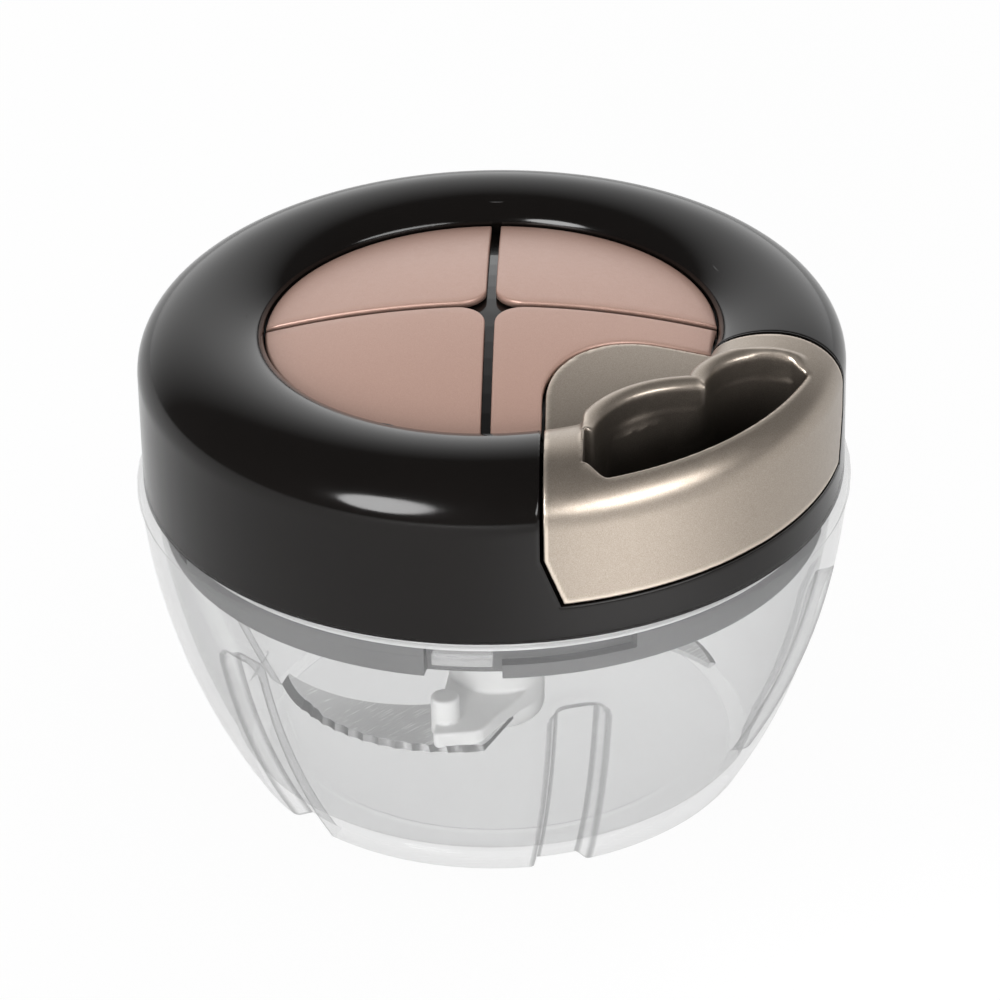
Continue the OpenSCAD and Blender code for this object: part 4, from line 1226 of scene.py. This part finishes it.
def arm_field(u, v, z, top):
    """Distance to an arm with a round end, under a blade at height top."""
    end = ARM_LEN - ARM_W / 2
    arm = np.hypot(np.maximum(u - end, 0), v) - ARM_W / 2
    arm = np.maximum(np.where(u < 0, np.hypot(u, v) - ARM_W / 2, arm), -u - 1)
    return soft_max(soft_max(arm, z - top, 0.7), top - ARM_H - z, 0.7)


def clamp_field(u, v, z, top):
    """Distance to a clamp over a blade: flat sides, each at an angle and a distance from the axis."""
    clamp = top - z
    for lean, far in CLAMP_SIDES:
        c, s = cos_sin(lean)
        clamp = soft_max(clamp, u * c + v * s - far, 1.2)
    return soft_max(clamp, z - top - CLAMP_H, 0.6)


def hub_field(p):
    x, y, z = p.T
    r = np.hypot(x, y)
    column = r - np.interp(z, [HUB_Z + 16, HUB_Z + 34], [HUB_FOOT_R, HUB_R])
    solid = soft_max(soft_max(column, z - HUB_TOP, 0.6), HUB_Z - z, 3.0)
    for turn, top in zip((BLADE_TURN, BLADE_TURN + 180), BLADE_ZS):
        c, s = cos_sin(turn)
        u, v = x * c + y * s, y * c - x * s
        peg = np.hypot(u - PEG_AT[0], v - PEG_AT[1]) - PEG_R
        peg = soft_max(soft_max(peg, z - top - PEG_H, 0.7), top - z, 0.3)
        solid = soft_min(soft_min(solid, arm_field(u, v, z, top), 0.9), clamp_field(u, v, z, top), 0.6)
        solid = soft_min(solid, peg, 0.3)
    socket = np.maximum(r - SOCKET_R, HUB_TOP - SOCKET_D - z)
    return soft_max(solid, -np.minimum(socket, r - PIN_HOLE_R + np.maximum(z - BORE_TOP, 0)), 0.3)


sculpted_piece(
    hub_field, (-25.3, -25.3, 3.6), (25.3, 25.3, 50.8), 0.55,
    "hub_column", "blade_unit", "white_plastic", ["blade_hub"])

# %% [markdown]
# ## Blades
# Each blade is a scimitar: a convex cutting edge with small scallops, a hollow back, a squared tip and
# a heel beside the hub. The outline could be traced by hand, but two arcs keep it smooth and easy to
# change. The ground bevel is modelled, because its slope is what makes an edge look sharp, and it has
# its own rougher finish.

# %% Blade outline
EDGE_AT, EDGE_ARC = np.array((-3.9, -11.8)), 31.2
HOLLOW_AT, HOLLOW_ARC = np.array((-9.9, -23.4)), 28.3
ROOT_X, ROOT_Y, HEEL_Y, BLADE_T = HUB_R + 1.0, 9.2, 8.0, 1.0
HEEL_SHARE, TIP_CUT = 0.13, 0.9
SCALLOP_D, SCALLOPS = 0.35, 15
BEVEL_THIN, BEVEL_W, BEVEL_AT_TIP = 0.05, 0.95, 0.8


def circle_crossing():
    """The point where the arcs of cutting edge and hollow back meet, a little past the blade's cut tip."""
    way = HOLLOW_AT - EDGE_AT
    far = np.linalg.norm(way)
    way = way / far
    along = (EDGE_ARC**2 - HOLLOW_ARC**2 + far**2) / (2 * far)
    return EDGE_AT + way * along + math.sqrt(EDGE_ARC**2 - along**2) * np.array((-way[1], way[0]))


def on_circle(centre, radius, start, end, share):
    """Points of a circle between the directions of two points, at shares from 0 to 1."""
    a0 = math.atan2(*(start - centre)[::-1])
    a1 = math.atan2(*(end - centre)[::-1])
    turn = a0 + (a1 - a0) * share
    return centre + np.outer(radius, (1, 1)) * np.column_stack([np.cos(turn), np.sin(turn)])


def blade_lines(n=260):
    """Cutting edge, bevel line and back of a blade along +X, from root to tip."""
    share = np.linspace(0, 1, n)
    tip = circle_crossing()
    edge_root = np.array((EDGE_AT[0] + math.sqrt(EDGE_ARC**2 - (ROOT_Y - EDGE_AT[1]) ** 2), ROOT_Y))
    back_root = np.array((ROOT_X, HOLLOW_AT[1] + math.sqrt(HOLLOW_ARC**2 - (ROOT_X - HOLLOW_AT[0]) ** 2)))
    run = np.clip((share - HEEL_SHARE) / (1 - HEEL_SHARE), 0, 1)
    waves = np.abs(np.sin(math.pi * SCALLOPS * run))
    waves = waves * smooth_step(0.06, 0.14, run) * smooth_step(0.84, 0.78, run)
    edge = on_circle(EDGE_AT, EDGE_ARC - SCALLOP_D * waves, edge_root, tip, TIP_CUT * run)
    heel = share[share < HEEL_SHARE][:, None] / HEEL_SHARE
    edge[share < HEEL_SHARE] = (1 - heel) * (ROOT_X, HEEL_Y) + heel * edge_root
    back = on_circle(HOLLOW_AT, np.full(n, HOLLOW_ARC), back_root, tip, TIP_CUT * share)
    width = np.linalg.norm(back - edge, axis=1)[:, None]
    bevel = BEVEL_THIN + BEVEL_W * smooth_step(0.1, 0.16, share)
    bevel = bevel + BEVEL_AT_TIP * smooth_step(0.72, 0.76, share)
    inward = (back - edge) / np.maximum(width, 1e-6)
    return edge, edge + inward * np.minimum(bevel[:, None], 0.8 * width), back


print("arcs meet at, in mm:", np.round(circle_crossing(), 1).tolist())

# %% Two blades
BLADE_SEAT, EDGE_FLAT = 0.05, 0.1
ground_metal("blade_edge", (0.28, 0.28, 0.28), 0.4, 0.55, (1, 0.3, 1))


def make_blade(name, stands_for, level, turn):
    edge, bevel, back = blade_lines()
    c, s = cos_sin(turn)
    low, high = level + BLADE_SEAT, level + BLADE_SEAT + BLADE_T

    def placed(line, z):
        return [(x * c - y * s, x * s + y * c, z) for x, y in line]

    bm = bmesh.new()
    add_grid(bm, [placed(edge, low + EDGE_FLAT), placed(bevel, high)])
    for face in bm.faces:
        face.material_index = 1
    add_grid(bm, [
        placed(bevel, high), placed((bevel + back) / 2, high), placed(back, high), placed(back, low),
        placed((edge + back) / 2, low), placed(edge, low), placed(edge, low + EDGE_FLAT)])
    bmesh.ops.remove_doubles(bm, verts=bm.verts, dist=1e-6)
    bmesh.ops.holes_fill(bm, edges=bm.edges)
    blade = finish_piece(bm, name, "blade_unit", "blade_steel", 12, [stands_for])
    blade.data.materials.append(FINISHES["blade_edge"])


make_blade("scimitar_low", "lower_blade", BLADE_ZS[0], BLADE_TURN)
make_blade("scimitar_high", "upper_blade", BLADE_ZS[1], BLADE_TURN + 180)

# %% [markdown]
# ## Bayonet lugs
# Four small lugs inside the bowl's rim hold the lid. Each is a short arc of a square ring, whose edges a
# bevel modifier rounds. Solid clear plastic looks paler than a thin wall, so their film is milkier than
# the bowl's.

# %% Lugs
LUG_N, LUG_TURN, LUG_HALF, LUG_LOW, LUG_TOP, LUG_IN_R = 4, -48.8, 5.0, 49.0, 51.3, 55.1
clear_plastic("clear_lug", (0.8, 0.8, 0.8), 0.3, 0.5)


def make_lugs():
    bm = bmesh.new()
    out_r = wall_radius(LUG_LOW) - BOWL_T + 0.1
    loop = [(out_r, LUG_LOW), (LUG_IN_R, LUG_LOW), (LUG_IN_R, LUG_TOP), (out_r, LUG_TOP), (out_r, LUG_LOW)]
    for k in range(LUG_N):
        turn = np.radians(LUG_TURN + 360 / LUG_N * k + np.linspace(-LUG_HALF, LUG_HALF, 9))
        made = add_grid(bm, [[around(r, a, z) for a in turn] for r, z in loop])
        bm.faces.new([row[0] for row in made[:-1]])
        bm.faces.new([row[-1] for row in made[:-1]])
    lugs = finish_piece(bm, "bowl_lugs", "bowl", "clear_bowl", 30)
    lugs.data.materials[0] = FINISHES["clear_lug"]
    soft = lugs.modifiers.new("soft_edges", "BEVEL")
    soft.width, soft.segments = 0.35 * MM, 2
    lugs.visible_shadow = False


make_lugs()

# %% [markdown]
# ## Lip seal
# A pale rubber ring seals lid and bowl with two small lips. It is the same all round, so a short profile
# is turned about the axis.

# %% Seal
LIP_OUT, SEAL_W, LIP_H, SEAL_COLUMNS = 0.45, 1.2, 0.6, 192


def make_seal():
    low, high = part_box("seal_ring")
    out_r, z0, z1 = high.x / MM, low.z / MM, high.z / MM
    core, inner = out_r - LIP_OUT, out_r - SEAL_W
    loop = [(inner, z0), (core, z0)]
    for z in (z0 + 0.35, z1 - 0.95):
        loop += [(core, z), (out_r - 0.1, z + 0.12), (out_r, z + LIP_H / 2)]
        loop += [(out_r - 0.1, z + 0.48), (core, z + LIP_H)]
    loop += [(core, z1), (inner, z1), (inner, z0)]
    turn = np.linspace(0, 2 * math.pi, SEAL_COLUMNS, endpoint=False)
    bm = bmesh.new()
    add_grid(bm, [[around(r, a, z) for a in turn] for r, z in loop], wrap=True)
    finish_piece(bm, "lip_seal", "seal", "seal_rubber", 50, ["seal_ring"])


make_seal()

# %% [markdown]
# ## Cord
# The cord is wound on its drum, led through the eyelet to the handle, and knotted there. Each part is a
# tube along a line of points, made as a mesh rather than a curve with a bevel.

# %% Tube and wound cord
DRUM_R, DRUM_Z, TURNS, FIRST_TURN = 19.5, 62.8, 3, 1.3
TUBE_SHARE = 0.97


def add_tube(bm, points, radius, sides=10):
    """A round tube along points in mm, closed at both ends."""
    p = np.array(points, float)
    way = np.gradient(p, axis=0)
    way /= np.linalg.norm(way, axis=1)[:, None]
    side = np.cross(way[0], (0.0, 0.0, 1.0))
    rows = []
    for at, ahead in zip(p, way):
        side = side - ahead * side.dot(ahead)
        side /= np.linalg.norm(side)
        up = np.cross(ahead, side)
        turn = np.linspace(0, 2 * math.pi, sides, endpoint=False)
        rows.append([at + radius * (math.cos(a) * side + math.sin(a) * up) for a in turn])
    made = add_grid(bm, rows, wrap=True)
    bm.faces.new(made[0])
    bm.faces.new(made[-1][::-1])


def make_winding():
    bm = bmesh.new()
    for layer in (0, 1):
        r = DRUM_R + CORD_R * (2 * layer + 1)
        turn = np.linspace(0, 2 * math.pi * TURNS, 48 * TURNS + 1)
        z = DRUM_Z + FIRST_TURN + np.linspace(0, 2 * CORD_R * (TURNS - 1), len(turn))
        add_tube(bm, np.column_stack([r * np.cos(turn), r * np.sin(turn), z]), CORD_R * TUBE_SHARE, 8)
    finish_piece(bm, "wound_cord", "reel", "cord", 60, ["cord_winding"])


make_winding()

# %% Led cord and knot
LEAD_R, BEND_X, EYELET_X, KNOT_X = 24.3, 32.7, 35.7, 44.9
BEND_SHARE, KNOT_SIZE, KNOT_CORD_R = 0.8, 0.38, 0.6


def make_led_cord():
    leave = -math.acos(LEAD_R / BEND_X)
    start = np.array((LEAD_R * math.cos(leave), LEAD_R * math.sin(leave), CORD_Z))
    bend, eyelet = np.array((BEND_X, 0, CORD_Z)), np.array((EYELET_X, 0, CORD_Z))
    points = [start + (bend - start) * t for t in np.linspace(0, BEND_SHARE, 6)]
    points += [(1 - t) ** 2 * (start + (bend - start) * BEND_SHARE) + 2 * t * (1 - t) * bend + t * t * eyelet
               for t in np.linspace(0.15, 1, 8)]
    points += [(x, 0, CORD_Z) for x in np.linspace(EYELET_X + 0.5, KNOT_X - 1.4, 14)]
    bm = bmesh.new()
    add_tube(bm, points, CORD_R * TUBE_SHARE)
    led = finish_piece(bm, "led_cord", None, "cord", 60, ["pull_cord"])
    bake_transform(led)


def make_knot():
    t = np.linspace(0, 2 * math.pi, 73)
    trefoil = [-np.sin(3 * t), np.sin(t) + 2 * np.sin(2 * t), np.cos(t) - 2 * np.cos(2 * t)]
    bm = bmesh.new()
    add_tube(bm, np.column_stack(trefoil) * KNOT_SIZE + (KNOT_X, 0, CORD_Z), KNOT_CORD_R, 8)
    finish_piece(bm, "end_knot", "handle", "cord", 60, ["cord_knot"])


make_led_cord()
make_knot()
